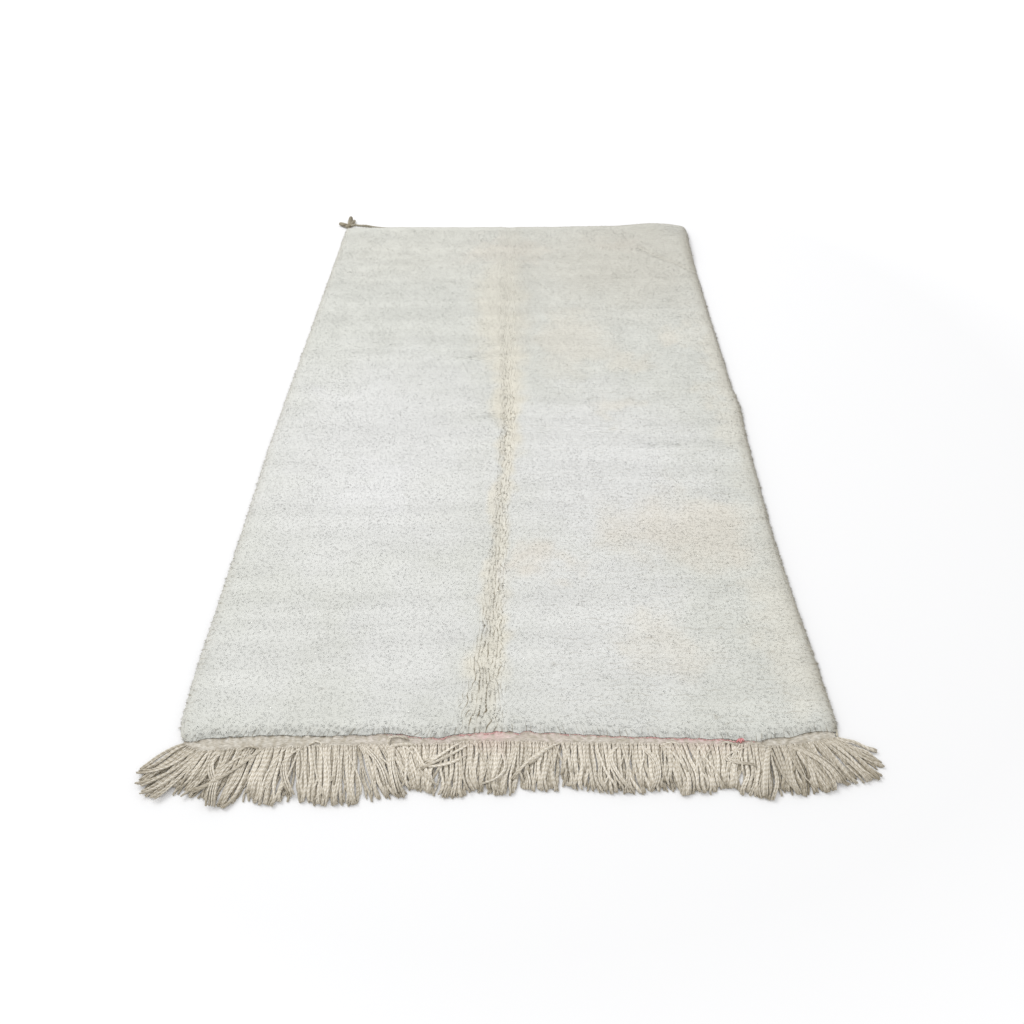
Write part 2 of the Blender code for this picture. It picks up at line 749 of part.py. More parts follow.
def make_finish(name, colour, roughness):
    """A plain surface finish, made once and shared."""
    material = bpy.data.materials.get(name)
    if material is None:
        material = bpy.data.materials.new(name)
        material.use_nodes = True
        shader = material.node_tree.nodes["Principled BSDF"]
        shader.inputs["Base Color"].default_value = (*colour, 1.0)
        shader.inputs["Roughness"].default_value = roughness
        shader.inputs["Metallic"].default_value = 0.0
    return material


def add_mesh(collection, name, bm, finish, smooth):
    """Put a finished mesh in the scene under its name."""
    mesh = bpy.data.meshes.new(name)
    bm.to_mesh(mesh)
    bm.free()
    mesh.materials.append(make_finish(*finish))
    if smooth:
        mesh.shade_smooth()
        mesh.set_sharp_from_angle(angle=math.radians(50))
    piece = bpy.data.objects.new(name, mesh)
    collection.objects.link(piece)
    return piece


def make_collection(name):
    collection = bpy.data.collections.new(name)
    bpy.context.scene.collection.children.link(collection)
    return collection


def main():
    for existing in list(bpy.data.objects):
        bpy.data.objects.remove(existing)
    rug = make_collection(COLLECTION_NAME)
    cutters = make_collection(COLLECTION_NAME + "_cutters")
    build_rug_field(rug)
    build_near_fringe(rug)
    build_selvedge(rug, "selvedge_left", left_edge, 1.0)
    build_selvedge(rug, "selvedge_right", right_edge, -1.0)
    build_far_cord(rug)
    build_corner_tassel(rug, cutters)


main()
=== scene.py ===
import math

import bpy
import numpy as np
from mathutils import Matrix, Vector, noise


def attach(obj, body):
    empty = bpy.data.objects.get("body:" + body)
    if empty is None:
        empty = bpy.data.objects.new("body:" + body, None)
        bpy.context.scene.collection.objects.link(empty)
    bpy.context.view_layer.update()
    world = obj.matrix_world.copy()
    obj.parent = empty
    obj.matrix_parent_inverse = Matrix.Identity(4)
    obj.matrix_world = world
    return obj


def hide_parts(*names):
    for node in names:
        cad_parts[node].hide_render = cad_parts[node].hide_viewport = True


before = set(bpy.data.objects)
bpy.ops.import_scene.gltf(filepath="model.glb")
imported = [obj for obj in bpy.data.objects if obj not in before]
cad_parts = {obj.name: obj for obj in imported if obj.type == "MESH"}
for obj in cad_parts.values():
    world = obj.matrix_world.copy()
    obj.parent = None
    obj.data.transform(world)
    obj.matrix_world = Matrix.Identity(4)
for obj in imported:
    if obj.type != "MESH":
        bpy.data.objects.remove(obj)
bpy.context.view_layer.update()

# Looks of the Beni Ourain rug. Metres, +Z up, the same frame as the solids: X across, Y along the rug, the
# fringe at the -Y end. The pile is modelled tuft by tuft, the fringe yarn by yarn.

TURN = 2.0 * math.pi
SEED = 2306

# -------- sizes: the solids', with finer outlines

FIELD_WIDTH = 1.50
PILE_LENGTH = 2.49         # from its near rim to its far rim
PILE_TOP = 0.0200
CLOTH_THICKNESS = 0.0065
WALL_INSET = 0.0090        # from the outline to the woven edge
BAND_HEIGHT = 0.0050
CORNER_WEAR = 0.0110
SELVEDGE_RADIUS = 0.0035
# Smooth noise of the pile's top: strength, spacing, seed. Gentler than the solids', which stand for locks too
LUMPS = ((0.0018, 0.047, 11), (0.0036, 0.42, 16))

# y, x of the left edge, x of the right edge
LONG_EDGES = np.array((
    (-1.300, -0.744, 0.752), (-1.250, -0.745, 0.754), (-1.232, -0.759, 0.757), (-1.195, -0.766, 0.760),
    (-1.150, -0.769, 0.759), (-1.100, -0.770, 0.757), (-1.000, -0.770, 0.754),
    (-0.850, -0.770, 0.747), (-0.600, -0.769, 0.740), (-0.200, -0.770, 0.746), (-0.030, -0.767, 0.754),
    (0.080, -0.765, 0.747), (0.500, -0.755, 0.742), (0.900, -0.747, 0.740), (1.100, -0.743, 0.741),
    (1.190, -0.742, 0.748), (1.225, -0.741, 0.746), (1.265, -0.740, 0.738),
))
# x, y of the near edge, y of the far edge
END_EDGES = np.array((
    (-0.790, -1.252, 1.264), (-0.742, -1.249, 1.267), (-0.720, -1.247, 1.268), (-0.700, -1.242, 1.270),
    (-0.650, -1.238, 1.270), (-0.580, -1.234, 1.269), (-0.530, -1.232, 1.269), (-0.430, -1.235, 1.267),
    (-0.300, -1.230, 1.264), (-0.250, -1.229, 1.263), (-0.200, -1.238, 1.262), (-0.160, -1.240, 1.261),
    (-0.130, -1.234, 1.261), (-0.105, -1.228, 1.260), (-0.060, -1.227, 1.260), (-0.030, -1.223, 1.259),
    (0.000, -1.223, 1.259), (0.024, -1.227, 1.259), (0.048, -1.221, 1.259), (0.075, -1.227, 1.259),
    (0.120, -1.228, 1.259), (0.240, -1.235, 1.260),
    (0.480, -1.243, 1.262), (0.575, -1.249, 1.262), (0.600, -1.241, 1.262), (0.655, -1.237, 1.262),
    (0.680, -1.226, 1.259), (0.740, -1.224, 1.248), (0.790, -1.222, 1.238),
))
# x, y of the band's front line
BAND_FRONT = np.array((
    (-0.790, -1.250), (-0.745, -1.253), (-0.722, -1.267), (-0.695, -1.274), (-0.640, -1.269),
    (-0.530, -1.265), (-0.414, -1.259), (-0.200, -1.256), (-0.130, -1.254), (-0.090, -1.249),
    (-0.030, -1.249), (0.060, -1.250), (0.120, -1.254), (0.210, -1.254),
    (0.560, -1.258), (0.594, -1.262), (0.650, -1.257), (0.690, -1.251), (0.737, -1.243), (0.790, -1.242),
))
FAR_CORD_RADIUS = 0.0040
# The far cord: x, how thick it is, how far it strays from its seat
FAR_CORD_LUMPS = np.array((
    (-0.7162, 1.45, 0.0200), (-0.7000, 1.60, 0.0220), (-0.6820, 1.30, 0.0190), (-0.6640, 1.55, 0.0150),
    (-0.6450, 1.65, 0.0110), (-0.6250, 1.30, 0.0080), (-0.6000, 1.10, 0.0040), (-0.5700, 1.00, 0.0000),
    (0.5600, 1.00, 0.0000), (0.5900, 1.00, 0.0008), (0.6200, 1.00, 0.0012), (0.6500, 0.98, 0.0008),
    (0.6800, 0.95, 0.0000),
))
# y, x of the parting, depth, half width
CREASE = np.array((
    (-1.300, -0.042, 0.0060, 0.042), (-1.000, -0.036, 0.0055, 0.034), (-0.700, -0.034, 0.0050, 0.026),
    (-0.400, -0.024, 0.0055, 0.024), (-0.050, -0.012, 0.0060, 0.028), (0.300, -0.018, 0.0040, 0.034),
    (0.700, -0.022, 0.0030, 0.036), (1.050, -0.020, 0.0022, 0.036), (1.300, -0.018, 0.0012, 0.036),
))
# y at its middle, first x, last x, depth
CROSS_CREASES = (
    (0.250, -0.215, -0.055, 0.0036),
    (-0.076, -0.135, 0.000, 0.0050),
    (-0.140, 0.010, 0.350, 0.0030),
    (-0.228, 0.390, 0.560, 0.0040),
    (0.330, -0.700, -0.300, 0.0014),
)
CROSS_CREASE_WIDTH = 0.007
# start and end of the line where the lifted corner folds, depth
FOLD_LINE = ((0.520, 1.050), (0.712, 0.864), 0.0030)
FOLD_WIDTH = 0.009
# start and end of a ridge line, half width, height
LIFTS = (
    ((0.560, 1.300), (0.790, 1.010), 0.130, 0.0100),
    ((0.770, 0.030), (0.790, -0.070), 0.055, 0.0075),
)

# -------- the pile's tufts

TUFT_STEP_X = 0.0088
TUFT_STEP_Y = 0.0079
TUFT_SCATTER = 0.0027
TUFT_INSET = WALL_INSET + 0.0025
# Rows of tufts that hang over the rims: distance in from the woven edge, lowest and highest share of height
HANGING_ROWS = ((0.0, 0.55, 0.80), (0.0024, 0.78, 1.0))
HANGING_STEP = 0.0066
HANGING_STEP_NEAR = 0.0040
HANGING_SCATTER = 0.0015
# y at which the width of the rug is read for the far rim's tufts, the near rim's tufts and the band
FAR_RIM_AT, NEAR_RIM_AT, BAND_AT = -1.20, -1.25, -1.24
STRANDS_IN_TUFT = 4
STRAND_POINTS = 4          # three corners of its root and its tip
STRAND_SPREAD = 0.0023     # from a tuft's middle to a strand's root
STRAND_FAN = 0.0027        # and to its tip
STRAND_RADIUS = 0.0030     # at the root
STRAND_SHADE = 0.15        # how far each strand's own roundness shows in its shading
STRAND_TURN = 0.4          # how unevenly strands stand round the tuft
STRAND_TONE = 0.2          # how much their tone differs within a tuft
TUFT_TONE = (0.55, 0.26)   # mean and spread
TUFT_SIZE = (0.88, 1.12)
TUFT_UNEVEN = 0.0004
TIP_SCATTER = 0.0006
LOWEST_TIP = 0.0030
LOWEST_POINT = 0.0012
ROOT_SINK = 0.0006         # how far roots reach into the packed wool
SHORTEST_TUFT = 0.0026
HANGING_ROOT = 0.0066      # height of the roots that hang over the rims
NAP = 0.0018               # how far tips lie towards the fringe
LEAN_SCATTER = 0.0012
LEAN_NOISE_X = (0.0016, 0.09, 53)
LEAN_NOISE_Y = (0.0020, 0.07, 59)
ROUGH_RIM = 0.020          # width of the rim where tufts stand more askew
# How far tips lean out over the sides, the near rim and the far rim, and the width over which they do
SIDE_OVERHANG = (0.0100, 0.046)
NEAR_OVERHANG = (0.0086, 0.040)
FAR_OVERHANG = (0.0125, 0.040)
LOCK_CLEFT = (0.0040, 0.022)    # how far tips stay back between the locks of a rim, and over what width
FURROW_UPRIGHT = 0.75      # how much less tufts lean beside a furrow
CREASE_SPREAD = (0.45, 0.012)   # tufts part at a cross crease: share of its depth, width
CREASE_UPRIGHT = (0.8, 0.010)   # and lean less: share, width
SLOPE_STEP = 0.003         # over which the pile's slope is measured
NEAR_FACE = (0.95, 0.025)  # share of its slope that the near rim's shading leaves out, and its width
PILE_STRIPS = 5
CORE_DEPTH = 0.0012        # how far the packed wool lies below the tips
CORE_STEP = 0.0136
CORE_INSETS = (0.0050, 0.0012)  # of its rim from the outline, and at the near rim
CORE_SKIRT = 0.0062        # height of its rim over the floor
CORE_LOWEST = 0.0056
PARTING_SHARES = (0.415, 0.535, 0.0027)     # closer columns of its grid: first, last, step
CREASE_ROWS = (-0.014, 0.015, 0.004)        # closer rows about a cross crease: first, last, step
# Height of the pile near the outline: distances, and shares of its height there
SIDE_PROFILE = ((0.0, 0.003, 0.009, 0.020), (0.38, 0.58, 0.84, 1.0))
NEAR_PROFILE = ((0.0, 0.003, 0.009, 0.020), (0.34, 0.54, 0.85, 1.0))
FAR_PROFILE = ((-0.004, 0.002, 0.009, 0.020), (0.66, 0.82, 0.94, 1.0))

# Furrows along the parting: y, first and last offset from the parting, strength
FURROWS = np.array((
    (-1.240, -0.098, 0.040, 1.00), (-1.100, -0.074, 0.034, 1.00), (-0.900, -0.044, 0.030, 0.95),
    (-0.650, -0.026, 0.030, 0.80), (-0.400, -0.022, 0.026, 0.80), (-0.050, -0.026, 0.030, 0.85),
    (0.250, -0.032, 0.034, 0.55), (0.700, -0.040, 0.040, 0.30), (1.250, -0.040, 0.040, 0.15),
))
FURROW_STEP = 0.0118
RIM_STEP = 0.0150          # between the locks that stand side by side on the long rims
RIM_LOCK = 0.034           # how far in the locks of the rims reach
NEAR_RIM_FURROWS = 0.72    # strength
SIDE_RIM_FURROWS = 0.90
FURROW_GAP = 0.24          # share of a column's width that its furrow takes
FURROW_DEPTH = 0.0030
FURROW_WIDTH = 0.16        # share of a column's width over which the pile dips on each side
FURROW_LINE = 0.12         # share of a column's width that a dark line takes on each side
FURROW_LEAN = 0.0010
# Strength of the rows on the right half: at the near end and the far end, and its share at the left side
ROWS_NEAR, ROWS_FAR, ROWS_LEFT = 0.29, 0.19, 0.4
# How furrow lines sway: waves (size, rate along the rug, rate across it) and noise
SWAY_WAVES = ((0.0040, 31.0, 40.0), (0.0022, 83.0, 70.0))
SWAY_NOISE = ((0.0100, 0.026, 67), (0.0060, 0.011, 97))
SPLAY = 0.75               # how far they turn outwards at the near rim
SPLAY_LENGTH = 0.05        # and over what length
FAN = 0.16                 # how much wider apart they are near the fringe
ROW_NOISE = (0.016, 0.026, 89)
LINE_PATCHES = (3.6, 0.015, 61)
LINE_START = 40.0          # added to the lines' number, so that it stays positive

# Yellowed wool along the parting: y, first and last x, strength
YELLOWED = np.array((
    (-1.240, -0.120, 0.000, 0.25), (-1.130, -0.110, 0.000, 0.60), (-1.000, -0.090, -0.002, 0.75),
    (-0.900, -0.074, -0.004, 0.70), (-0.650, -0.056, -0.006, 0.60), (-0.400, -0.050, 0.010, 0.65),
    (-0.080, -0.050, 0.040, 0.80), (0.200, -0.090, 0.050, 0.70), (0.450, -0.160, 0.060, 0.60),
    (0.820, -0.170, 0.060, 0.52), (1.050, -0.090, 0.060, 0.34), (1.250, -0.060, 0.040, 0.16),
))

# Tan and pink places of the field: middle x and y, half width, half length, tan, pink
WARM_STAINS = (
    (0.450, 0.950, 0.450, 0.450, 0.25, 0.03),
    (-0.350, 1.050, 0.420, 0.300, 0.14, 0.00),
    (0.500, -0.590, 0.230, 0.150, 0.42, 0.20),
    (0.070, -0.710, 0.080, 0.080, 0.38, 0.22),
    (-0.030, 1.040, 0.200, 0.130, 0.35, 0.20),
    (0.400, 1.080, 0.130, 0.090, 0.30, 0.20),
    (0.220, 0.370, 0.160, 0.220, 0.34, 0.10),
    (0.390, 0.250, 0.120, 0.070, 0.32, 0.10),
    (0.580, 0.380, 0.090, 0.080, 0.34, 0.10),
    (0.360, -0.020, 0.080, 0.055, 0.30, 0.10),
    (0.380, -0.980, 0.120, 0.100, 0.32, 0.06),
    (0.720, 0.150, 0.070, 0.550, 0.34, 0.05),
    (0.700, -0.950, 0.080, 0.300, 0.30, 0.05),
)
# Cooler places, lighter too as painted light: middle x and y, half width, half length, strength
COOL_AND_LIT_PLACES = (
    (0.250, -0.330, 0.370, 0.420, 0.62),
    (0.200, -0.900, 0.310, 0.380, 0.52),
    (-0.260, -0.960, 0.200, 0.300, 0.50),
    (-0.420, -0.260, 0.430, 0.600, 0.62),
    (-0.400, -0.400, 0.220, 0.170, 0.75),
    (-0.520, 0.040, 0.240, 0.050, 0.60),
    (-0.600, -1.000, 0.220, 0.200, 0.32),
    (0.150, -1.050, 0.100, 0.160, 0.45),
    (0.250, 0.080, 0.200, 0.060, 0.25),
)
STAIN_REACH = 1.32         # in half widths, where a stain has faded out
STAIN_WANDER_X = ((0.10, 0.11, 31), (0.05, 0.035, 37))
STAIN_WANDER_Y = ((0.10, 0.13, 41), (0.05, 0.040, 43))
# Painted shade at the left, right and far rim. Each row: strength, width, distance at which it is full
RIM_PAINTED_SHADE = (
    ((0.35, 0.010, 0.0), (0.22, 0.040, 0.0)),
    ((0.84, 0.012, 0.0), (0.52, 0.055, 0.0)),
    ((0.50, 0.026, 0.0), (0.70, 0.012, -0.005)),
)
FOLD_SHADE = 0.26
# Broad painted shade: over the far half's right side, over all the far half, along the parting
RIGHT_PAINTED_SHADE, FAR_PAINTED_SHADE, PARTING_PAINTED_SHADE = 0.19, 0.07, 0.11

# -------- the fringe's yarns

YARN_RADIUS = 0.0023
YARN_SIDES = 5
YARN_STATIONS = 11
BUNDLE_STEP = 0.0096
YARNS_IN_BUNDLE = 4
BUNDLE_GIRTH = 0.0023      # from a bundle's middle to its yarns
BUNDLE_HEIGHT = (0.0050, 0.0078)
UNDER_STEP = 0.0037        # between the yarns of the lower layer
UNDER_HEIGHT = 0.0024
STRAY_YARNS = 70           # single yarns that lie askew on top
STRAY_HEIGHT = (0.0092, 0.0112)
CROSSING_HEIGHT = 0.0118
LOOSE_END_HEIGHT = 0.0086
CROSSING_SPREAD = 0.0040   # between the yarns of a lock that lies across
ROOT_OVERLAP = (0.0005, 0.0030)
ROOT_RISE = 0.55           # height of a yarn's root as a share of the height at which it rests
ROOT_CLEARANCE = 0.0012
TIP_DROP = 0.0016
BEND_PLACES = (0.32, 0.70)  # of the two bows, along a yarn
FLATTENED = 0.75           # height of a bundle as a share of its width
UNDER_SCATTER = 0.0016
UNDER_BOW = 0.035
UNDER_PAINTED_SHADE_TONE = (0.36, 0.64)
LOCK_BOW = 0.04
BUNDLE_BOW = 0.030
BUNDLE_SCATTER = 0.22      # of its tip, as a share of its place in the lock
BUNDLE_TONE = (0.66, 1.0)
BUNDLE_TURNS = (0.4, 1.0)
WHOLE_YARNS = 0.86         # share of yarns that are not broken off
BROKEN_OFF = (0.1, 0.5)
STRAY_BOW = 0.09
STRAY_REACH = (0.018, 0.045)
# How much darker yarns are at the left end, at the right end, where that starts, over what width
LEFT_DARKER, RIGHT_DARKER, DARKER_FROM, DARKER_WIDTH = 0.20, 0.34, 0.50, 0.14
FRINGE_STAIN = 0.16
ANY_PHASE = (0.0, 6.3)
SWAY = 0.0042
SWAY_RATE = (4.0, 11.0)
STRAY_RATE = (6.0, 12.0)
HOLE_X = -0.160            # where two locks part and the floor shows
HOLE_BOW = 0.135           # how far they bow away from it, as a share of their length
HOLE_REACH = 0.025
TIP_BLEND = (-0.018, -0.006, 0.006, 0.018)    # places over which the tips' line is smoothed
# Along a yarn, shares of its length and values there
SPREAD_PROFILE = ((0.0, 0.15, 0.6, 0.85, 1.0), (1.2, 1.0, 0.85, 1.0, 1.05))
GIRTH_PROFILE = ((0.0, 0.06, 0.80, 0.92, 1.0), (0.85, 1.0, 1.10, 1.22, 0.90))
ROOT_SHADE = ((0.0, 0.12, 0.30), (0.85, 0.95, 1.0))

# Locks that lie together: first and last root x, first tip's x and y, last tip's x and y, bow to the side
FRINGE_LOCKS = (
    (-0.742, -0.733, -0.824, -1.320, -0.820, -1.332, 0.10),
    (-0.733, -0.722, -0.820, -1.346, -0.814, -1.360, 0.08),
    (-0.722, -0.704, -0.804, -1.374, -0.794, -1.382, 0.06),
    (-0.704, -0.688, -0.782, -1.387, -0.768, -1.388, 0.04),
    (-0.688, -0.650, -0.742, -1.356, -0.690, -1.388, 0.04),
    (-0.650, -0.610, -0.668, -1.388, -0.650, -1.398, -0.04),
    (-0.610, -0.565, -0.636, -1.400, -0.612, -1.411, 0.14),
    (-0.565, -0.535, -0.580, -1.368, -0.545, -1.400, 0.02),
    (-0.535, -0.486, -0.541, -1.402, -0.490, -1.405, -0.03),
    (-0.486, -0.420, -0.462, -1.388, -0.402, -1.402, 0.03),
    (-0.420, -0.345, -0.402, -1.402, -0.326, -1.402, 0.04),
    (-0.345, -0.280, -0.288, -1.392, -0.220, -1.384, 0.05),
    (-0.280, -0.160, -0.216, -1.362, -0.164, -1.376, 0.05),
    (-0.160, -0.096, -0.154, -1.384, -0.092, -1.384, -0.04),
    (-0.096, -0.024, -0.084, -1.366, -0.020, -1.376, -0.06),
    (-0.024, 0.036, -0.030, -1.378, 0.014, -1.380, -0.05),
    (0.036, 0.120, 0.030, -1.366, 0.110, -1.370, -0.07),
    (0.120, 0.176, 0.120, -1.366, 0.176, -1.364, -0.03),
    (0.176, 0.265, 0.186, -1.373, 0.276, -1.376, 0.05),
    (0.265, 0.345, 0.281, -1.376, 0.350, -1.366, -0.04),
    (0.345, 0.445, 0.368, -1.380, 0.456, -1.374, 0.04),
    (0.445, 0.535, 0.462, -1.362, 0.500, -1.362, -0.06),
    (0.535, 0.596, 0.506, -1.376, 0.582, -1.392, 0.05),
    (0.596, 0.645, 0.600, -1.374, 0.656, -1.381, 0.05),
    (0.645, 0.690, 0.664, -1.377, 0.722, -1.366, 0.05),
    (0.690, 0.716, 0.742, -1.358, 0.790, -1.352, 0.03),
    (0.716, 0.734, 0.796, -1.351, 0.826, -1.334, 0.02),
    (0.734, 0.750, 0.832, -1.320, 0.826, -1.284, 0.00),
)
# Single locks that lie across the others: root x and y, bend x and y, tip x and y, yarns
CROSSING_LOCKS = (
    (-0.094, -1.258, -0.140, -1.290, -0.194, -1.316, 4),
    (-0.112, -1.254, -0.148, -1.282, -0.184, -1.304, 4),
    (-0.092, -1.282, -0.130, -1.303, -0.174, -1.314, 3),
    (-0.262, -1.262, -0.258, -1.312, -0.238, -1.376, 4),
    (-0.716, -1.270, -0.760, -1.312, -0.818, -1.325, 4),
    (-0.706, -1.274, -0.752, -1.326, -0.814, -1.354, 4),
    (-0.700, -1.274, -0.742, -1.340, -0.797, -1.377, 3),
    (-0.690, -1.274, -0.730, -1.344, -0.772, -1.386, 3),
    (0.112, -1.256, 0.080, -1.276, 0.046, -1.306, 5),
    (0.104, -1.262, 0.060, -1.286, 0.010, -1.340, 2),
    (-0.560, -1.266, -0.622, -1.330, -0.690, -1.372, 5),
    (-0.590, -1.280, -0.640, -1.330, -0.640, -1.404, 4),
    (-0.650, -1.280, -0.664, -1.310, -0.640, -1.360, 3),
    (0.543, -1.262, 0.490, -1.290, 0.545, -1.308, 3),
    (0.590, -1.266, 0.574, -1.310, 0.560, -1.380, 4),
    (0.640, -1.262, 0.700, -1.300, 0.730, -1.350, 4),
    (-0.330, -1.262, -0.290, -1.300, -0.262, -1.360, 3),
    (0.250, -1.262, 0.230, -1.300, 0.262, -1.366, 3),
    (-0.020, -1.262, -0.006, -1.320, -0.052, -1.352, 2),
    (0.300, -1.262, 0.332, -1.310, 0.318, -1.364, 3),
    (-0.470, -1.266, -0.500, -1.310, -0.470, -1.380, 3),
)
# Short loose ends that curl on the band: start, bend and end, each x and y, yarns
LOOSE_ENDS = (
    (-0.272, -1.258, -0.266, -1.238, -0.230, -1.243, 2),
    (-0.276, -1.264, -0.240, -1.258, -0.212, -1.260, 2),
    (-0.420, -1.262, -0.436, -1.250, -0.452, -1.256, 1),
    (0.345, -1.262, 0.372, -1.252, 0.392, -1.262, 1),
    (0.486, -1.266, 0.492, -1.252, 0.520, -1.260, 1),
    (-0.610, -1.276, -0.592, -1.262, -0.566, -1.270, 1),
)

# -------- the band, the pink yarns and the tassel

BAND_COLUMNS = 620
BAND_ROWS = 15
BAND_BEATS = 740.0         # rate of the warps' bumps across the band
BAND_BEAT = 0.00030        # their height
BAND_RIBS = 4.5            # weft ribs from its back to its front
BAND_RIB = 0.00050
SEAT_DEPTH = 0.0003        # how deep the band and the cords sit in the woven edge
BAND_PROFILE = ((0.0, 0.75, 0.93, 1.0), (1.0, 1.0, 0.80, 0.45))
BAND_WASH = ((0.0, 0.45, 1.0), (1.0, 0.75, 0.25))
BAND_ROUGHNESS = (0.0016, 0.013, 71)
BAND_MOTTLE = (1.0, 0.010, 73)
BAND_BREAKS = (2.0, 0.012, 83)
# Places where the band is washed pink: x, width, strength
PINK_PLACES = (
    (-0.042, 0.046, 1.0), (0.080, 0.100, 0.28), (0.460, 0.075, 0.60),
    (0.360, 0.120, 0.22), (-0.160, 0.050, 0.34), (-0.300, 0.080, 0.12),
)
# x and how much of the pink twining shows there
PINK_SHOWN = ((-0.17, -0.16, -0.01, 0.01, 0.36, 0.40, 0.52, 0.54), (0.0, 1.0, 0.8, 0.0, 0.0, 0.8, 1.0, 0.0))
PINK_BREAKS = (2.2, 0.014, 79)
PINK_PITCH = 0.011
PINK_RADIUS = 0.0010
PINK_SPOT = (0.527, -1.243)
PINK_ENDS = 9
PINK_END_RADIUS = 0.0018
# Twined cords: length of a turn, distance between stations, tone
SELVEDGE_TWIST = (0.020, 0.0036, 0.75)
FAR_CORD_TWIST = (0.016, 0.0022, 0.22)
FAR_CORD_CLIMB = 0.0125    # how high the far cord climbs onto the rug near the tassel
# A cord's strands: how far from its middle, how thick, and how thick at its ends, each as a share
CORD_OFFSET, CORD_GIRTH, CORD_END = 0.48, 0.54, 0.75
KNOT_RADIUS = 0.0125
TASSEL_KNOT = (-0.7282, 1.2875, KNOT_RADIUS)
KNOT_TURNS = 9
# Stubs of the tassel: girth, three points of the middle line, yarns
TASSEL_STUBS = (
    (0.0085, ((-0.735, 1.291, 0.0120), (-0.752, 1.303, 0.0100), (-0.774, 1.319, 0.0088)), 7),
    (0.0100, ((-0.729, 1.296, 0.0130), (-0.729, 1.322, 0.0118), (-0.732, 1.376, 0.0104)), 8),
    (0.0070, ((-0.728, 1.297, 0.0120), (-0.719, 1.314, 0.0090), (-0.714, 1.348, 0.0074)), 6),
)
TASSEL_STATIONS = 14
TASSEL_YARN_RADIUS = 0.0034
STUB_REACH = 0.66          # from a stub's middle to its yarns, as a share of its girth
STUB_TWIST = 3.2
KNOT_REACH = 0.78          # the same for the knot
STUB_PROFILE = ((0.0, 0.3, 0.85, 1.0), (0.7, 1.0, 0.95, 0.75))
TASSEL_YARN_PROFILE = ((0.0, 0.9, 1.0), (1.0, 1.0, 0.6))

# -------- colours, as screen values from 0 to 255

WHITE = (255, 255, 255)
IVORY = (230, 231, 225)
IVORY_CLOUD = (224, 225, 219)
COOL_LIT_WOOL = (243, 243, 244)
TAN_WOOL = (239, 233, 217)
PINKISH_WOOL = (232, 220, 210)
STREAK_TINT = (247, 247, 247)
TONE_TINT = (237, 237, 237)
ROOT_PAINTED_SHADE = (249, 249, 248)
FIBRE_TINT = (250, 250, 249)
PAINTED_SHADE = (158, 153, 139)
FURROW_PAINTED_SHADE = (122, 111, 89)
WEAVE_LOW = (150, 138, 116)
WEAVE_HIGH = (206, 196, 176)
PLY_GROOVE_SHADE = (224, 219, 208)
YARN_FIBRE_TINT = (222, 218, 208)
YARN_END = (144, 134, 114)
YARN_STAIN = (214, 160, 156)
BAND_DARK = (184, 179, 168)
BAND_LIGHT = (215, 210, 200)
BAND_SHADE = (120, 108, 88)
BAND_PINK = (228, 186, 188)
BAND_TINT = (222, 218, 210)
# Yarns: light colour, dark colour, turns of the ply a metre
WARP_YARN = ((244, 239, 230), (166, 158, 141), 90.0)
PINK_YARN = ((238, 192, 193), (226, 140, 147), 110.0)
CORD_YARN = ((222, 217, 204), (160, 155, 139), 110.0)
TASSEL_YARN = ((190, 183, 164), (122, 113, 94), 100.0)

# -------- the studio

FLOOR_SIZE = 40.0
FLOOR_COLOUR = (0.81, 0.81, 0.815, 1.0)
FLOOR_GLOW = (1.7, 3.0, 0.18)    # distance where it starts, distance where it is full, strength
SKY_STRENGTH = 0.97
KEY_LIGHT_PLACE = (-5.2, 3.2, 6.8)
KEY_LIGHT_SIZE = 4.8
KEY_LIGHT_POWER = 360.0
# The camera as fitted to the photo: place, turn to the left, dip and roll in degrees
CAMERA_PLACE = (0.0420, -2.2557, 1.7406)
CAMERA_ANGLES = (1.25, 44.71, -1.164)
FOCAL_PIXELS = 849.0
PICTURE_PIXELS = 1024.0
SENSOR_WIDTH = 36.0


# -------- helpers

def ease(value):
    value = np.clip(value, 0.0, 1.0)
    return value * value * (3.0 - 2.0 * value)


def fade(gap, width):
    """1 at no gap, 0 from the width on."""
    return ease(1.0 - gap / width)


def bell(gap, width):
    return np.exp(-(gap / width) ** 2)


def mix(first, last, share):
    return first + (last - first) * share


def look_up(table, place, column):
    """A column of a table, read between its rows at places in its first column."""
    return np.interp(place, table[:, 0], table[:, column])


def from_middle(place, first, last, reach=1.0):
    """Distance from the middle of a span as a share of its half length, or of reach times that."""
    return np.abs(place - 0.5 * (first + last)) / (reach * 0.5 * (last - first))


def noise_at(x, y, spacing, seed):
    """Smooth noise from about -0.5 to 0.5, the same as in the solids."""
    places = zip(np.ravel(x), np.ravel(y))
    return np.reshape([noise.noise(Vector((px / spacing, py / spacing, seed))) for px, py in places], x.shape)


def with_noise(values, x, y, *rows):
    """Values with smooth noise added. Each row: strength, spacing, seed."""
    for strength, spacing, seed in rows:
        values = values + strength * noise_at(x, y, spacing, seed)
    return values


def left_edge(y):
    return look_up(LONG_EDGES, y, 1)


def right_edge(y):
    return look_up(LONG_EDGES, y, 2)


def near_edge(x):
    scallops = 0.0013 * np.sin(143.0 * x + 2.0 * np.sin(31.0 * x)) + 0.0007 * np.sin(390.0 * x)
    return look_up(END_EDGES, x, 1) + scallops


def far_edge(x):
    return look_up(END_EDGES, x, 2)


def band_front(x):
    return look_up(BAND_FRONT, x, 1)


def rim_distances(x, y):
    """Distances in from the left, right, near and far side of the outline."""
    return x - left_edge(y), right_edge(y) - x, y - near_edge(x), far_edge(x) - y


def fill_outline(across, along, inset, near_inset, rounds):
    """Plan positions in the outline, drawn in by the insets, from shares of its width and length."""
    y = mix(near_edge(0.0) + near_inset, far_edge(0.0) - inset, along)
    for _ in range(rounds):
        x = mix(left_edge(y) + inset, right_edge(y) - inset, across)
        y = mix(near_edge(x) + near_inset, far_edge(x) - inset, along)
    return x, y


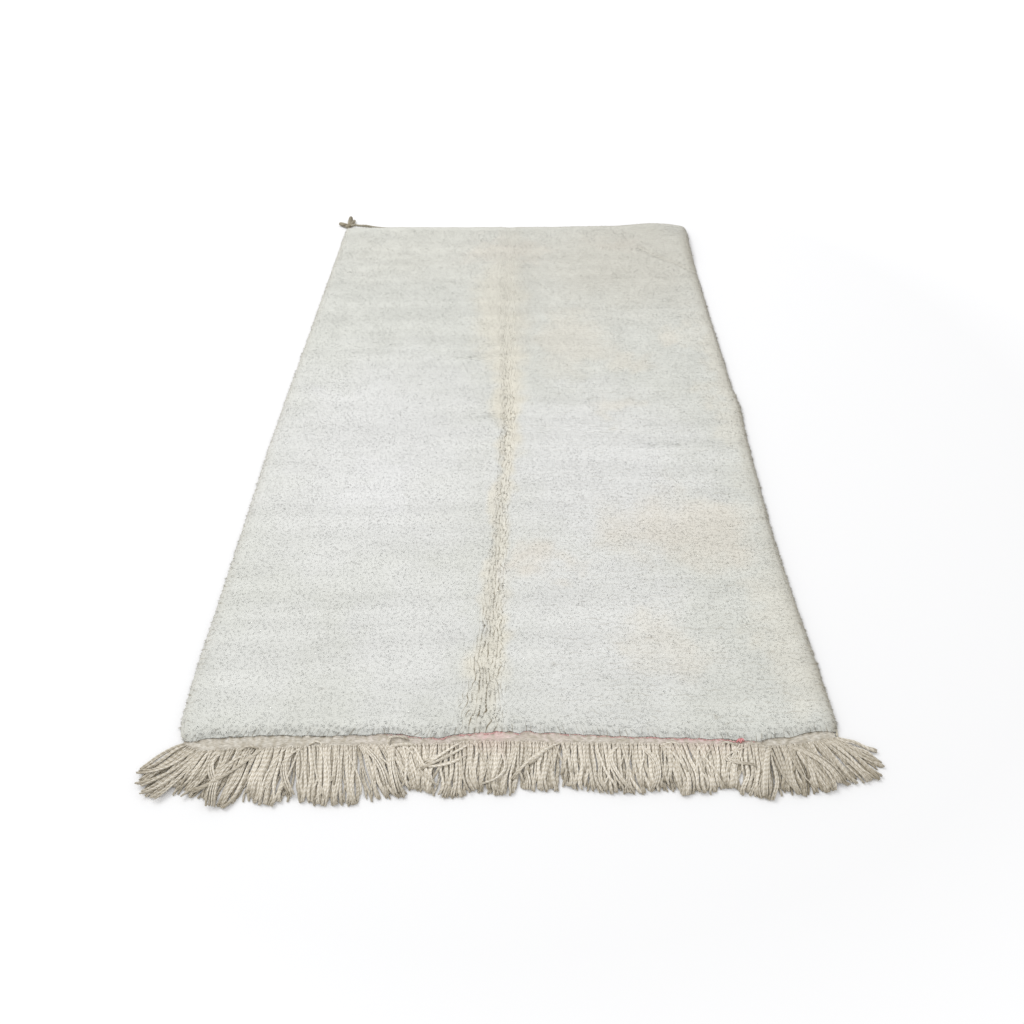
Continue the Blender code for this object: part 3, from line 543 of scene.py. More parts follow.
def distance_to(start, end, x, y):
    """Distance to a straight line from start to end."""
    run = np.subtract(end, start)
    share = np.clip(((x - start[0]) * run[0] + (y - start[1]) * run[1]) / np.dot(run, run), 0.0, 1.0)
    return np.hypot(x - start[0] - run[0] * share, y - start[1] - run[1] * share)


def floor_lift(x, y):
    """Height of the rug's underside above the floor."""
    height = np.zeros_like(np.asarray(x, float) + np.asarray(y, float))
    for start, end, half_width, rise in LIFTS:
        height = height + rise * fade(distance_to(start, end, x, y), half_width)
    return height


def fold_share(x, y):
    start, end, _ = FOLD_LINE
    return bell(distance_to(start, end, x, y + 0.006 * np.sin(45.0 * x)), FOLD_WIDTH)


def cross_crease(row, x, y):
    """How much of a cross crease there is at each place, and the distance across it."""
    cross_y, first_x, last_x, _ = row
    return ease(1.4 - from_middle(x, first_x, last_x)), y - cross_y - 0.004 * np.sin(70.0 * x)


def crease_depth(x, y):
    centre, depth, half_width = (look_up(CREASE, y, column) for column in (1, 2, 3))
    total = depth * fade(np.abs(x - centre), half_width)
    for row in CROSS_CREASES:
        share, away = cross_crease(row, x, y)
        total = total + row[3] * share * bell(away, CROSS_CREASE_WIDTH)
    return total + FOLD_LINE[2] * fold_share(x, y)


def on_circle(angle):
    return np.stack([np.cos(angle), np.sin(angle)], -1)


# -------- meshes and pieces

def new_mesh(name, points, quads, triangles=()):
    """A mesh from arrays of points and faces."""
    mesh = bpy.data.meshes.new(name)
    faces = [np.asarray(quads, np.int32).reshape(-1, 4), np.asarray(triangles, np.int32).reshape(-1, 3)]
    corners = np.concatenate([part.ravel() for part in faces])
    counts = np.concatenate([np.full(len(part), part.shape[1], np.int32) for part in faces])
    starts = np.concatenate([[0], np.cumsum(counts)[:-1]]).astype(np.int32)
    mesh.vertices.add(len(points))
    mesh.vertices.foreach_set("co", np.asarray(points, np.float32).ravel())
    mesh.loops.add(len(corners))
    mesh.loops.foreach_set("vertex_index", corners)
    mesh.polygons.add(len(counts))
    mesh.polygons.foreach_set("loop_start", starts)
    mesh.update(calc_edges=True)
    mesh.shade_smooth()
    return mesh


def grid_quads(shape):
    """Faces between the points of a grid."""
    index = np.arange(shape[0] * shape[1]).reshape(shape)
    corners = (index[:-1, :-1], index[:-1, 1:], index[1:, 1:], index[1:, :-1])
    return np.stack(corners, -1).reshape(-1, 4)


def mesh_points(mesh):
    points = np.empty(len(mesh.vertices) * 3, np.float32)
    mesh.vertices.foreach_get("co", points)
    return points.reshape(-1, 3)


def add_colours(mesh, name, *channels):
    """A colour attribute from its red, green and blue, each a number a point or one for all."""
    rows = np.ones((len(mesh.vertices), 4), np.float32)
    for column, values in enumerate(channels):
        rows[:, column] = np.ravel(values)
    layer = mesh.color_attributes.new(name, "FLOAT_COLOR", "POINT")
    layer.data.foreach_set("color", rows.ravel())


def add_flat_uv(mesh):
    """A map seen from above, for baking."""
    plan = mesh_points(mesh)[:, :2]
    low = plan.min(0)
    span = plan.max(0) - low
    corners = np.empty(len(mesh.loops), np.int32)
    mesh.loops.foreach_get("vertex_index", corners)
    layer = mesh.uv_layers.new(name="OFBake")
    layer.data.foreach_set("uv", (((plan - low) / span.max())[corners]).astype(np.float32).ravel())


def add_piece(mesh, material, replaces=()):
    piece = bpy.data.objects.new(mesh.name, mesh)
    bpy.context.scene.collection.objects.link(piece)
    mesh.materials.append(material)
    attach(piece, "root")
    if replaces:
        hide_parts(*replaces)
    return piece


# -------- materials

def linear(colour):
    """Screen values as light."""
    shares = [channel / 255.0 for channel in colour]
    return tuple(share / 12.92 if share <= 0.04045 else ((share + 0.055) / 1.055) ** 2.4 for share in shares)


class Wool:
    """A wool material, built node by node."""

    def __init__(self, name, roughness=0.92, sheen=0.25):
        self.material = bpy.data.materials.new(name)
        self.material.use_nodes = True
        self.tree = self.material.node_tree
        self.shader = self.tree.nodes["Principled BSDF"]
        self.shader.inputs["Roughness"].default_value = roughness
        self.shader.inputs["Specular IOR Level"].default_value = 0.15
        self.shader.inputs["Sheen Weight"].default_value = sheen
        self.shader.inputs["Sheen Roughness"].default_value = 0.6
        self.place = self.node("ShaderNodeTexCoord").outputs["Object"]

    def node(self, kind, inputs=None, **settings):
        made = self.tree.nodes.new(kind)
        for key, value in settings.items():
            setattr(made, key, value)
        for key, value in (inputs or {}).items():
            self.put(made.inputs[key], value)
        return made

    def put(self, socket, value):
        """Join a socket, or set it where the value is a constant. Colours are screen values."""
        if isinstance(value, bpy.types.NodeSocket):
            self.tree.links.new(value, socket)
        elif socket.type == "RGBA":
            socket.default_value = (*linear(value), 1.0)
        else:
            socket.default_value = value

    def math(self, operation, first, second=0.0):
        return self.node("ShaderNodeMath", {0: first, 1: second}, operation=operation).outputs[0]

    def noise(self, scale, detail=2.0, stretch=None):
        place = self.place
        if stretch:
            place = self.node("ShaderNodeMapping", {"Scale": stretch, "Vector": place}).outputs["Vector"]
        made = self.node("ShaderNodeTexNoise", {"Scale": scale, "Detail": detail, "Vector": place})
        return made.outputs["Fac"]

    def ramp(self, value, low, high):
        """Value from 0 at low to 1 at high."""
        limits = {"From Min": low, "From Max": high, "Value": value}
        return self.node("ShaderNodeMapRange", limits).outputs["Result"]

    def blend(self, share, first, last, kind="MIX"):
        made = self.node("ShaderNodeMix", {"Factor": share}, data_type="RGBA", blend_type=kind)
        first_colour, last_colour = (socket for socket in made.inputs if socket.type == "RGBA")
        self.put(first_colour, first)
        self.put(last_colour, last)
        return next(socket for socket in made.outputs if socket.type == "RGBA")

    def tint(self, colour, share, low):
        """Colour times a tint that runs from low at share 0 to none at share 1."""
        return self.blend(1.0, colour, self.blend(share, low, WHITE), "MULTIPLY")

    def colours(self, name):
        """The three channels of a colour attribute."""
        read = self.node("ShaderNodeAttribute", attribute_name=name)
        split = self.node("ShaderNodeSeparateColor", {"Color": read.outputs["Color"]})
        return split.outputs["Red"], split.outputs["Green"], split.outputs["Blue"]

    def finish(self, colour, height, fibre, fibre_share, distance):
        """Colour, and relief from the height with a share of the fibres."""
        relief = self.math("ADD", height, self.math("MULTIPLY", fibre, fibre_share))
        bump = self.node("ShaderNodeBump", {"Strength": 1.0, "Distance": distance, "Height": relief})
        self.put(self.shader.inputs["Normal"], bump.outputs["Normal"])
        self.put(self.shader.inputs["Base Color"], colour)
        return self.material


def pile_wool():
    """Undyed ivory wool: yellowed and pink places, cooler places partly brightened as painted light, painted
    shade at the rims, the roots and the furrow lines, fine fibres.
    """
    wool = Wool("pile_wool", roughness=0.95, sheen=0.20)
    tan, pink, cool_and_lit = wool.colours("stain")
    tip, tone, shade = wool.colours("tuft")
    place, strength, _ = wool.colours("furrow")
    line = wool.math("ABSOLUTE", wool.math("SUBTRACT", wool.math("FRACT", place), 0.5))
    line = wool.math("MULTIPLY", wool.ramp(line, FURROW_LINE, 0.4 * FURROW_LINE), strength)
    cloud = wool.ramp(wool.noise(9.0, 3.0), 0.35, 0.65)
    fibre = wool.noise(800.0, 3.0)
    curl = wool.noise(340.0, 1.0)
    streak = wool.ramp(wool.noise(1.0, 2.0, stretch=(1.3, 15.0, 1.0)), 0.36, 0.64)
    colour = wool.blend(cloud, IVORY, IVORY_CLOUD)
    for share, wash in ((cool_and_lit, COOL_LIT_WOOL), (tan, TAN_WOOL), (pink, PINKISH_WOOL)):
        colour = wool.blend(share, colour, wash)
    fibres = wool.ramp(fibre, 0.30, 0.60)
    # The tip share paints shade onto the strands' roots, where the tufts shade each other.
    for share, low in ((streak, STREAK_TINT), (tone, TONE_TINT), (tip, ROOT_PAINTED_SHADE), (fibres, FIBRE_TINT)):
        colour = wool.tint(colour, share, low)
    # Painted shade at the rims, along the fold, over the far half and along the parting.
    colour = wool.blend(shade, colour, PAINTED_SHADE)
    # Painted shade along the furrows between the columns of tufts.
    colour = wool.blend(line, colour, FURROW_PAINTED_SHADE)
    return wool.finish(colour, curl, fibre, 0.25, 0.0016)


def woven_wool():
    """Close plain weave of the foundation."""
    wool = Wool("woven_back", roughness=0.95)
    threads = []
    for direction, scale, distortion in (("Y", 95.0, 1.5), ("X", 70.0, 1.0)):
        inputs = {"Scale": scale, "Distortion": distortion, "Vector": wool.place}
        bands = wool.node("ShaderNodeTexWave", inputs, wave_type="BANDS", bands_direction=direction)
        threads.append(bands.outputs["Fac"])
    weave = wool.math("MULTIPLY", *threads)
    colour = wool.blend(weave, WEAVE_LOW, WEAVE_HIGH)
    return wool.finish(colour, weave, wool.noise(700.0, 2.0), 0.3, 0.0012)


def yarn_wool(name, light, dark, ply):
    """Plied yarn: turns round its length from the twist map, tone, worn end and stain from its points."""
    wool = Wool(name, roughness=0.90, sheen=0.20)
    tone, end, stain = wool.colours("yarn")
    twist = wool.node("ShaderNodeUVMap", uv_map="twist")
    split = wool.node("ShaderNodeSeparateXYZ", {"Vector": twist.outputs["UV"]})
    round_share = wool.math("MULTIPLY", split.outputs["X"], 2.0)
    turns = wool.math("ADD", round_share, wool.math("MULTIPLY", split.outputs["Y"], ply))
    lobes = wool.math("ABSOLUTE", wool.math("SINE", wool.math("MULTIPLY", turns, math.pi)))
    fibre = wool.noise(800.0, 3.0)
    # Painted shade in the grooves between the plies.
    colour = wool.tint(wool.blend(tone, dark, light), lobes, PLY_GROOVE_SHADE)
    colour = wool.blend(wool.math("MULTIPLY", end, 0.75), colour, YARN_END)
    colour = wool.blend(stain, colour, YARN_STAIN)
    colour = wool.tint(colour, wool.ramp(fibre, 0.3, 0.6), YARN_FIBRE_TINT)
    return wool.finish(colour, lobes, fibre, 0.5, 0.0006)


def band_wool():
    """Flat-woven band: weft ribs, beige wool, washed pink in places."""
    wool = Wool("band_wool", roughness=0.93, sheen=0.20)
    tone, shade, stain = wool.colours("yarn")
    fibre = wool.noise(620.0, 3.0)
    flecks = wool.noise(260.0, 2.0, stretch=(0.45, 1.6, 1.0))
    colour = wool.blend(wool.ramp(flecks, 0.34, 0.60), BAND_DARK, BAND_LIGHT)
    colour = wool.blend(wool.math("MULTIPLY", shade, 0.75), colour, BAND_SHADE)
    colour = wool.blend(stain, colour, BAND_PINK)
    colour = wool.tint(colour, tone, BAND_TINT)
    return wool.finish(colour, flecks, fibre, 0.5, 0.0014)


def floor_paint():
    """Bright studio floor, which glows a little away from the rug."""
    material = bpy.data.materials.new("studio_floor")
    material.use_nodes = True
    nodes = material.node_tree.nodes
    links = material.node_tree.links
    shader = nodes["Principled BSDF"]
    shader.inputs["Base Color"].default_value = FLOOR_COLOUR
    shader.inputs["Roughness"].default_value = 0.9
    shader.inputs["Specular IOR Level"].default_value = 0.0
    shader.inputs["Emission Color"].default_value = (1.0, 1.0, 1.0, 1.0)
    place = nodes.new("ShaderNodeTexCoord")
    reach = nodes.new("ShaderNodeVectorMath")
    reach.operation = "LENGTH"
    rise = nodes.new("ShaderNodeMapRange")
    for name, value in zip(("From Min", "From Max", "To Max"), FLOOR_GLOW):
        rise.inputs[name].default_value = value
    links.new(place.outputs["Object"], reach.inputs[0])
    links.new(reach.outputs["Value"], rise.inputs["Value"])
    links.new(rise.outputs["Result"], shader.inputs["Emission Strength"])
    return material


# -------- foundation

def plan_grid(columns, rows, inset, near_inset):
    """Plan positions of a grid over the outline, from shares of its sides. The worn corner is drawn in."""
    across, along = np.meshgrid(columns, rows)
    x, y = fill_outline(across, along, inset, near_inset, rounds=3)
    worn = CORNER_WEAR * ((across == 1.0) & (along == 1.0))
    return x - worn, y - worn


def closed_slab(name, x, y, low, high):
    """A closed slab over a plan grid, between two heights."""
    index = np.arange(x.size).reshape(x.shape)
    bottom = np.stack([x, y, low], -1).reshape(-1, 3)
    top = np.stack([x, y, high], -1).reshape(-1, 3)
    offset = len(bottom)
    cells = grid_quads(x.shape)
    rim = np.concatenate([index[0, :], index[1:, -1], index[-1, -2::-1], index[-2:0:-1, 0]])
    following = np.roll(rim, -1)
    walls = np.stack([rim, following, following + offset, rim + offset], -1)
    quads = np.concatenate([cells[:, ::-1], cells + offset, walls])
    return new_mesh(name, np.concatenate([bottom, top]), quads)


def build_foundation(material):
    x, y = plan_grid(np.linspace(0.0, 1.0, 40), np.linspace(0.0, 1.0, 64), WALL_INSET, WALL_INSET)
    lift = floor_lift(x, y)
    mesh = closed_slab("rug_foundation", x, y, lift, lift + CLOTH_THICKNESS)
    add_flat_uv(mesh)
    return add_piece(mesh, material, ["rug_field"])


# -------- pile

def rim_profile(x, y):
    """Height of the pile's top as a share of its height in the field."""
    left, right, near, far = rim_distances(x, y)
    side_share = np.interp(np.minimum(left, right), *SIDE_PROFILE)
    near_share = np.interp(near, *NEAR_PROFILE)
    far_share = np.interp(far, *FAR_PROFILE)
    return np.minimum(np.minimum(side_share, near_share), far_share)


def pile_relief(x, y):
    """Height of the pile's top over the cloth's underside, away from the rims."""
    return PILE_TOP + with_noise(0.0, x, y, *LUMPS) - crease_depth(x, y)


def pile_surface(x, y):
    """Height of the pile's tips over the floor, without their own unevenness."""
    return floor_lift(x, y) + pile_relief(x, y) * rim_profile(x, y)


def surface_normals(x, y):
    """Which way the pile as a whole faces at each place."""
    step = SLOPE_STEP
    slope_x = (pile_surface(x + step, y) - pile_surface(x - step, y)) / (2.0 * step)
    slope_y = (pile_surface(x, y + step) - pile_surface(x, y - step)) / (2.0 * step)
    upright = 1.0 - NEAR_FACE[0] * ease(1.2 - (y - near_edge(x)) / NEAR_FACE[1])
    normals = np.stack([-slope_x, -slope_y * upright, np.ones(len(x))], -1)
    return normals / np.linalg.norm(normals, axis=1, keepdims=True)


def furrow_field(x, y):
    """Furrow lines beside the parting, between the locks of the rims and in rows on the right half.

    Returns the number across them (a line at each half), their strength, and whether they run crosswise."""
    left, right, near, _ = rim_distances(x, y)
    first, last, strength = (look_up(FURROWS, y, column) for column in (1, 2, 3))
    offset = x - look_up(CREASE, y, 1)
    strength = strength * ease(1.6 * (1.0 - from_middle(offset, first, last, 1.25)))
    strength = np.maximum(strength, NEAR_RIM_FURROWS * fade(near, RIM_LOCK))
    sway = sum(size * np.sin(y * rate_y + offset * rate_x) for size, rate_y, rate_x in SWAY_WAVES)
    sway = with_noise(sway, x, y, *SWAY_NOISE)
    sway = sway - SPLAY * np.clip(offset / 0.15, -1.0, 0.4) * np.clip(near, 0.0, SPLAY_LENGTH)
    fan = 1.0 + FAN * ease((-0.95 - y) / 0.26) * ease(1.4 - np.abs(offset) / 0.120)
    rim = SIDE_RIM_FURROWS * fade(np.minimum(left, right), RIM_LOCK)
    rows = mix(ROWS_NEAR, ROWS_FAR, ease(0.5 + 0.4 * y)) * mix(ROWS_LEFT, 1.0, ease((x + 0.10) / 0.40))
    rim = np.maximum(rim, rows)
    crosswise = rim > strength
    rim_place = with_noise(y, x, y, ROW_NOISE) / RIM_STEP
    place = np.where(crosswise, rim_place, (offset - sway) / (FURROW_STEP * fan))
    return place, np.maximum(strength, rim), crosswise


def furrow_pull(x, y, place, strength, crosswise):
    """Draw tufts together in the columns of a furrow field, with a furrow between each two.

    Returns the new x and y, the lean into the column and how open the furrow is at each tuft."""
    share = place - np.round(place)
    open_furrow = bell(0.5 - np.abs(share), FURROW_WIDTH)
    pull = np.stack([~crosswise, crosswise]) * strength
    shift_x, shift_y = -share * FURROW_GAP * FURROW_STEP * pull
    depth = strength * ease(1.6 * strength) * open_furrow
    return x + shift_x, y + shift_y, -FURROW_LEAN * np.sign(share) * pull, depth


def stain_share(x, y, middle_x, middle_y, half_x, half_y):
    return ease(STAIN_REACH - np.hypot((x - middle_x) / half_x, (y - middle_y) / half_y))


def stain_amounts(x, y):
    """Tan, pink and cool shares of the wool at each point. The cool share is cooler wool and also painted
    light.
    """
    wander_x = with_noise(x, x, y, *STAIN_WANDER_X)
    wander_y = with_noise(y, x, y, *STAIN_WANDER_Y)
    tan, pink, cool_and_lit = np.zeros((3, len(x)))
    for *ellipse, tan_strength, pink_strength in WARM_STAINS:
        share = stain_share(wander_x, wander_y, *ellipse)
        tan = np.maximum(tan, share * tan_strength)
        pink = np.maximum(pink, share * pink_strength)
    for *ellipse, cool_and_lit_strength in COOL_AND_LIT_PLACES:
        cool_and_lit = np.maximum(cool_and_lit, stain_share(wander_x, wander_y, *ellipse) * cool_and_lit_strength)
    first, last, strength = (look_up(YELLOWED, y, column) for column in (1, 2, 3))
    nearness = 1.0 - from_middle(mix(x, wander_x, 0.35), first, last, 1.3)
    return np.stack([np.maximum(tan, strength * ease(1.3 * nearness)), pink, cool_and_lit])


def painted_shade_at(gap, rows):
    """How much painted shade the wool takes at a distance from a rim."""
    return sum(strength * fade(gap - full, width) for strength, width, full in rows)


def rim_shade(x, y):
    """How much shade is painted on the wool: most at the right rim, a little over the far half."""
    left, right, _, far = rim_distances(x, y)
    shades = [painted_shade_at(gap, rows) for gap, rows in zip((left, right, far), RIM_PAINTED_SHADE)]
    shades.append(FOLD_SHADE * fold_share(x, y))
    far_half = ease((y - 0.30) / 0.70)
    broad = RIGHT_PAINTED_SHADE * ease((x + 0.10) / 0.60) * far_half + FAR_PAINTED_SHADE * far_half
    broad = broad + PARTING_PAINTED_SHADE * ease((y - 0.05) / 0.50) * bell(x - 0.02, 0.11)
    return np.minimum(np.maximum.reduce(shades) + broad, 1.0)


def tuft_roots(rng):
    """Root positions over the whole field."""
    column_count = int((FIELD_WIDTH - 2.0 * WALL_INSET) / TUFT_STEP_X)
    row_count = int((PILE_LENGTH - 2.0 * WALL_INSET) / TUFT_STEP_Y)
    rows, columns = np.mgrid[0:row_count, 0:column_count]
    across = ((columns + 0.5 + 0.25 * np.where(rows % 2, 1.0, -1.0)) / column_count).ravel()
    along = ((rows + 0.5) / row_count).ravel()
    x, y = fill_outline(across, along, TUFT_INSET, TUFT_INSET, rounds=2)
    x = x + rng.uniform(-TUFT_SCATTER, TUFT_SCATTER, len(x))
    y = y + rng.uniform(-TUFT_SCATTER, TUFT_SCATTER, len(y))
    return x, y


def rim_roots(rng):
    """Extra roots on the woven edge, for the locks that hang over it, and how far down each hangs."""
    y = np.arange(near_edge(0.0) + WALL_INSET, far_edge(0.0) - WALL_INSET, HANGING_STEP)
    far_ends = left_edge(FAR_RIM_AT) + WALL_INSET, right_edge(FAR_RIM_AT) - WALL_INSET
    near_ends = left_edge(NEAR_RIM_AT) + 0.004, right_edge(NEAR_RIM_AT) - 0.004
    far_x = np.arange(*far_ends, HANGING_STEP)[6:-6]
    near_x = np.arange(*near_ends, HANGING_STEP_NEAR)
    parts = []
    for row_inset, low, high in HANGING_ROWS:
        inset = WALL_INSET + row_inset
        sides = ((left_edge(y) + inset, y), (right_edge(y) - inset, y),
                 (near_x, near_edge(near_x) + inset), (far_x, far_edge(far_x) - inset))
        parts += [(*place, rng.uniform(low, high, len(place[0]))) for place in sides]
    x, y, drop = (np.concatenate([part[column] for part in parts]) for column in range(3))
    x = x + rng.uniform(-HANGING_SCATTER, HANGING_SCATTER, len(x))
    y = y + rng.uniform(-HANGING_SCATTER, HANGING_SCATTER, len(y))
    return x, y, drop


def core_height(x, y):
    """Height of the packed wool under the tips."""
    furrow = furrow_pull(x, y, *furrow_field(x, y))[3]
    height = pile_surface(x, y) - CORE_DEPTH - FURROW_DEPTH * furrow
    return np.maximum(height, floor_lift(x, y) + CORE_LOWEST)


def core_shares():
    """Shares of the width and length for the core's grid, closer at the parting and at cross creases."""
    low = near_edge(0.0)
    length = far_edge(0.0) - low
    even = np.linspace(0.0, 1.0, round(FIELD_WIDTH / CORE_STEP))
    columns = np.concatenate([even, np.arange(*PARTING_SHARES)])
    rows = [np.linspace(0.0, 1.0, round(length / CORE_STEP))]
    for cross_y, *_ in CROSS_CREASES:
        rows.append((cross_y - low + np.arange(*CREASE_ROWS)) / length)
    return np.unique(columns.round(4)), np.unique(np.concatenate(rows).round(4))


def build_core(material):
    """Packed wool under the tips, which closes the gaps between tufts, with a skirt round it."""
    x, y = (np.pad(part, 1, "edge") for part in plan_grid(*core_shares(), *CORE_INSETS))
    cells = grid_quads(x.shape)
    skirt = np.pad(np.zeros((x.shape[0] - 2, x.shape[1] - 2), bool), 1, constant_values=True).ravel()
    x, y = x.ravel(), y.ravel()
    height = np.where(skirt, floor_lift(x, y) + CORE_SKIRT, core_height(x, y))
    mesh = new_mesh("pile_core", np.stack([x, y, height], -1), cells)
    add_colours(mesh, "stain", *stain_amounts(x, y))
    # Painted shade: the packed wool takes the roots' shade and a dark tone, like the gaps between tufts.
    add_colours(mesh, "tuft", 0.0, 0.2, rim_shade(x, y))
    add_furrows(mesh)
    mesh.normals_split_custom_set_from_vertices(surface_normals(x, y))
    add_flat_uv(mesh)
    return add_piece(mesh, material)


def add_furrows(mesh):
    """Where each point lies among the furrow lines, and how strong they are there."""
    x, y = mesh_points(mesh)[:, :2].T.astype(float)
    place, strength, _ = furrow_field(x, y)
    patches = np.clip(with_noise(0.58, x, y, LINE_PATCHES), 0.0, 1.0)
    add_colours(mesh, "furrow", place + LINE_START, strength * patches, 0.0)


def lean_tufts(x, y, rng):
    """Draw tufts together in columns and lean them with the nap, over the rims and away from creases.

    Returns the roots, the tips, and at each tuft how strong the furrows are and how open they are."""
    left, right, near, far = rim_distances(x, y)
    rough = 1.0 + 1.2 * fade(np.minimum(near, np.minimum(left, right)), ROUGH_RIM)
    lean_x = with_noise(0.0, x, y, LEAN_NOISE_X) + rng.normal(0.0, LEAN_SCATTER, len(x)) * rough
    lean_y = with_noise(-NAP, x, y, LEAN_NOISE_Y) + rng.normal(0.0, LEAN_SCATTER, len(x)) * rough
    lean, width = SIDE_OVERHANG
    lean_x += lean * (fade(right, width) - fade(left, width))
    lean_y -= NEAR_OVERHANG[0] * fade(near, NEAR_OVERHANG[1])
    lean_y += FAR_OVERHANG[0] * fade(far, FAR_OVERHANG[1])
    place, strength, crosswise = furrow_field(x, y)
    x, y, pull, furrow = furrow_pull(x, y, place, strength, crosswise)
    lean_x = lean_x * (1.0 - FURROW_UPRIGHT * strength * ~crosswise) + pull[0]
    lean_y = lean_y * (1.0 - FURROW_UPRIGHT * strength * crosswise) + pull[1]
    lean, width = LOCK_CLEFT
    lean_y += lean * furrow * fade(near, width)
    lean_x += lean * furrow * (fade(left, width) - fade(right, width))
    for row in CROSS_CREASES:
        share, away = cross_crease(row, x, y)
        y = y + CREASE_SPREAD[0] * row[3] * share * np.sign(away) * bell(away, CREASE_SPREAD[1])
        lean_y = lean_y * (1.0 - CREASE_UPRIGHT[0] * share * bell(away, CREASE_UPRIGHT[1]))
    return x, y, x + lean_x, y + lean_y, strength, furrow


def grow_tufts(x, y, drop, rng):
    """Points of each tuft's strands, from its root, with their tone and shading normals.

    Drop is 1 in the field and less where a tuft hangs over the rim."""
    count = len(x)
    x, y, tip_x, tip_y, strength, furrow = lean_tufts(x, y, rng)
    lift = floor_lift(tip_x, tip_y)
    height = (pile_relief(tip_x, tip_y) * rim_profile(tip_x, tip_y) - FURROW_DEPTH * furrow) * drop
    root_z = np.minimum(core_height(x, y) - ROOT_SINK, lift + height - SHORTEST_TUFT)
    root_z = np.where(drop < 1.0, np.minimum(root_z, floor_lift(x, y) + HANGING_ROOT), root_z)
    size = rng.uniform(*TUFT_SIZE, count) * (1.0 - 0.14 * strength)
    turn = rng.uniform(0.0, TURN, count)
    points = np.empty((count, STRANDS_IN_TUFT, STRAND_POINTS, 3))
    normals = np.empty(points.shape)
    normals[:] = surface_normals(tip_x, tip_y)[:, None, None, :]
    for strand in range(STRANDS_IN_TUFT):
        own_turn = rng.uniform(-STRAND_TURN, STRAND_TURN, count)
        out = on_circle(turn + TURN * strand / STRANDS_IN_TUFT + own_turn)
        root = np.stack([x, y], -1) + STRAND_SPREAD * size[:, None] * out
        spin = rng.uniform(0.0, TURN, count)
        for corner in range(3):
            around = on_circle(spin + TURN * corner / 3.0)
            points[:, strand, corner, :2] = root + (STRAND_RADIUS * size)[:, None] * around
            points[:, strand, corner, 2] = root_z
            normals[:, strand, corner, :2] += STRAND_SHADE * around
        end = np.stack([tip_x, tip_y], -1) + STRAND_FAN * size[:, None] * out
        points[:, strand, 3, :2] = end + rng.normal(0.0, TIP_SCATTER, (count, 2))
        uneven = height + rng.normal(0.0, TUFT_UNEVEN, count)
        points[:, strand, 3, 2] = np.maximum(uneven, LOWEST_TIP) + lift
    points[..., 2] = np.maximum(points[..., 2], LOWEST_POINT)
    tone = rng.normal(*TUFT_TONE, (count, 1)) + rng.normal(0.0, STRAND_TONE, (count, STRANDS_IN_TUFT))
    return points, np.clip(tone, 0.0, 1.0), normals


def build_pile(material):
    """The knotted pile, in strips across the rug."""
    rng = np.random.default_rng(SEED)
    x, y = tuft_roots(rng)
    field = grow_tufts(x, y, np.ones(len(x)), rng)
    rim = grow_tufts(*rim_roots(rng), rng)
    points, tone, normals = (np.concatenate(pair) for pair in zip(field, rim))
    tips = points[:, :, 3].mean(1)
    tip_x, tip_y = tips[:, :2].T
    stains = stain_amounts(tip_x, tip_y)
    shade = rim_shade(tip_x, tip_y)
    sides = np.array(((0, 1, 3), (1, 2, 3), (2, 0, 3)))
    tuft_points = STRANDS_IN_TUFT * STRAND_POINTS
    pieces = []
    for number, chosen in enumerate(np.array_split(np.argsort(tip_y), PILE_STRIPS), start=1):
        strands = STRANDS_IN_TUFT * len(chosen)
        faces = STRAND_POINTS * np.arange(strands)[:, None, None] + sides
        mesh = new_mesh(f"pile_strip_{number}", points[chosen].reshape(-1, 3), (), faces)
        add_colours(mesh, "stain", *np.repeat(stains[:, chosen], tuft_points, axis=1))
        # Painted shade: full at each strand's root corners, none at its tip.
        tip_shares = np.tile((0.0, 0.0, 0.0, 1.0), strands)
        add_colours(mesh, "tuft", tip_shares, np.repeat(tone[chosen], STRAND_POINTS),
                    np.repeat(shade[chosen], tuft_points))
        add_furrows(mesh)
        own = normals[chosen].reshape(-1, 3)
        mesh.normals_split_custom_set_from_vertices(own / np.linalg.norm(own, axis=1, keepdims=True))
        add_flat_uv(mesh)
        pieces.append(add_piece(mesh, material))
    return pieces


# -------- yarns

def line_frame(line):
    """Unit directions along, across and above, at each station of a line or of many lines."""
    along = np.gradient(line, axis=-2)
    along /= np.linalg.norm(along, axis=-1, keepdims=True)
    across = np.cross(along, (0.0, 0.0, 1.0))
    across /= np.maximum(np.linalg.norm(across, axis=-1, keepdims=True), 1e-6)
    return along, across, np.cross(across, along)


def off_line(across, above, angle):
    """Direction away from a line at an angle round it."""
    return across * np.cos(angle)[..., None] + above * np.sin(angle)[..., None]


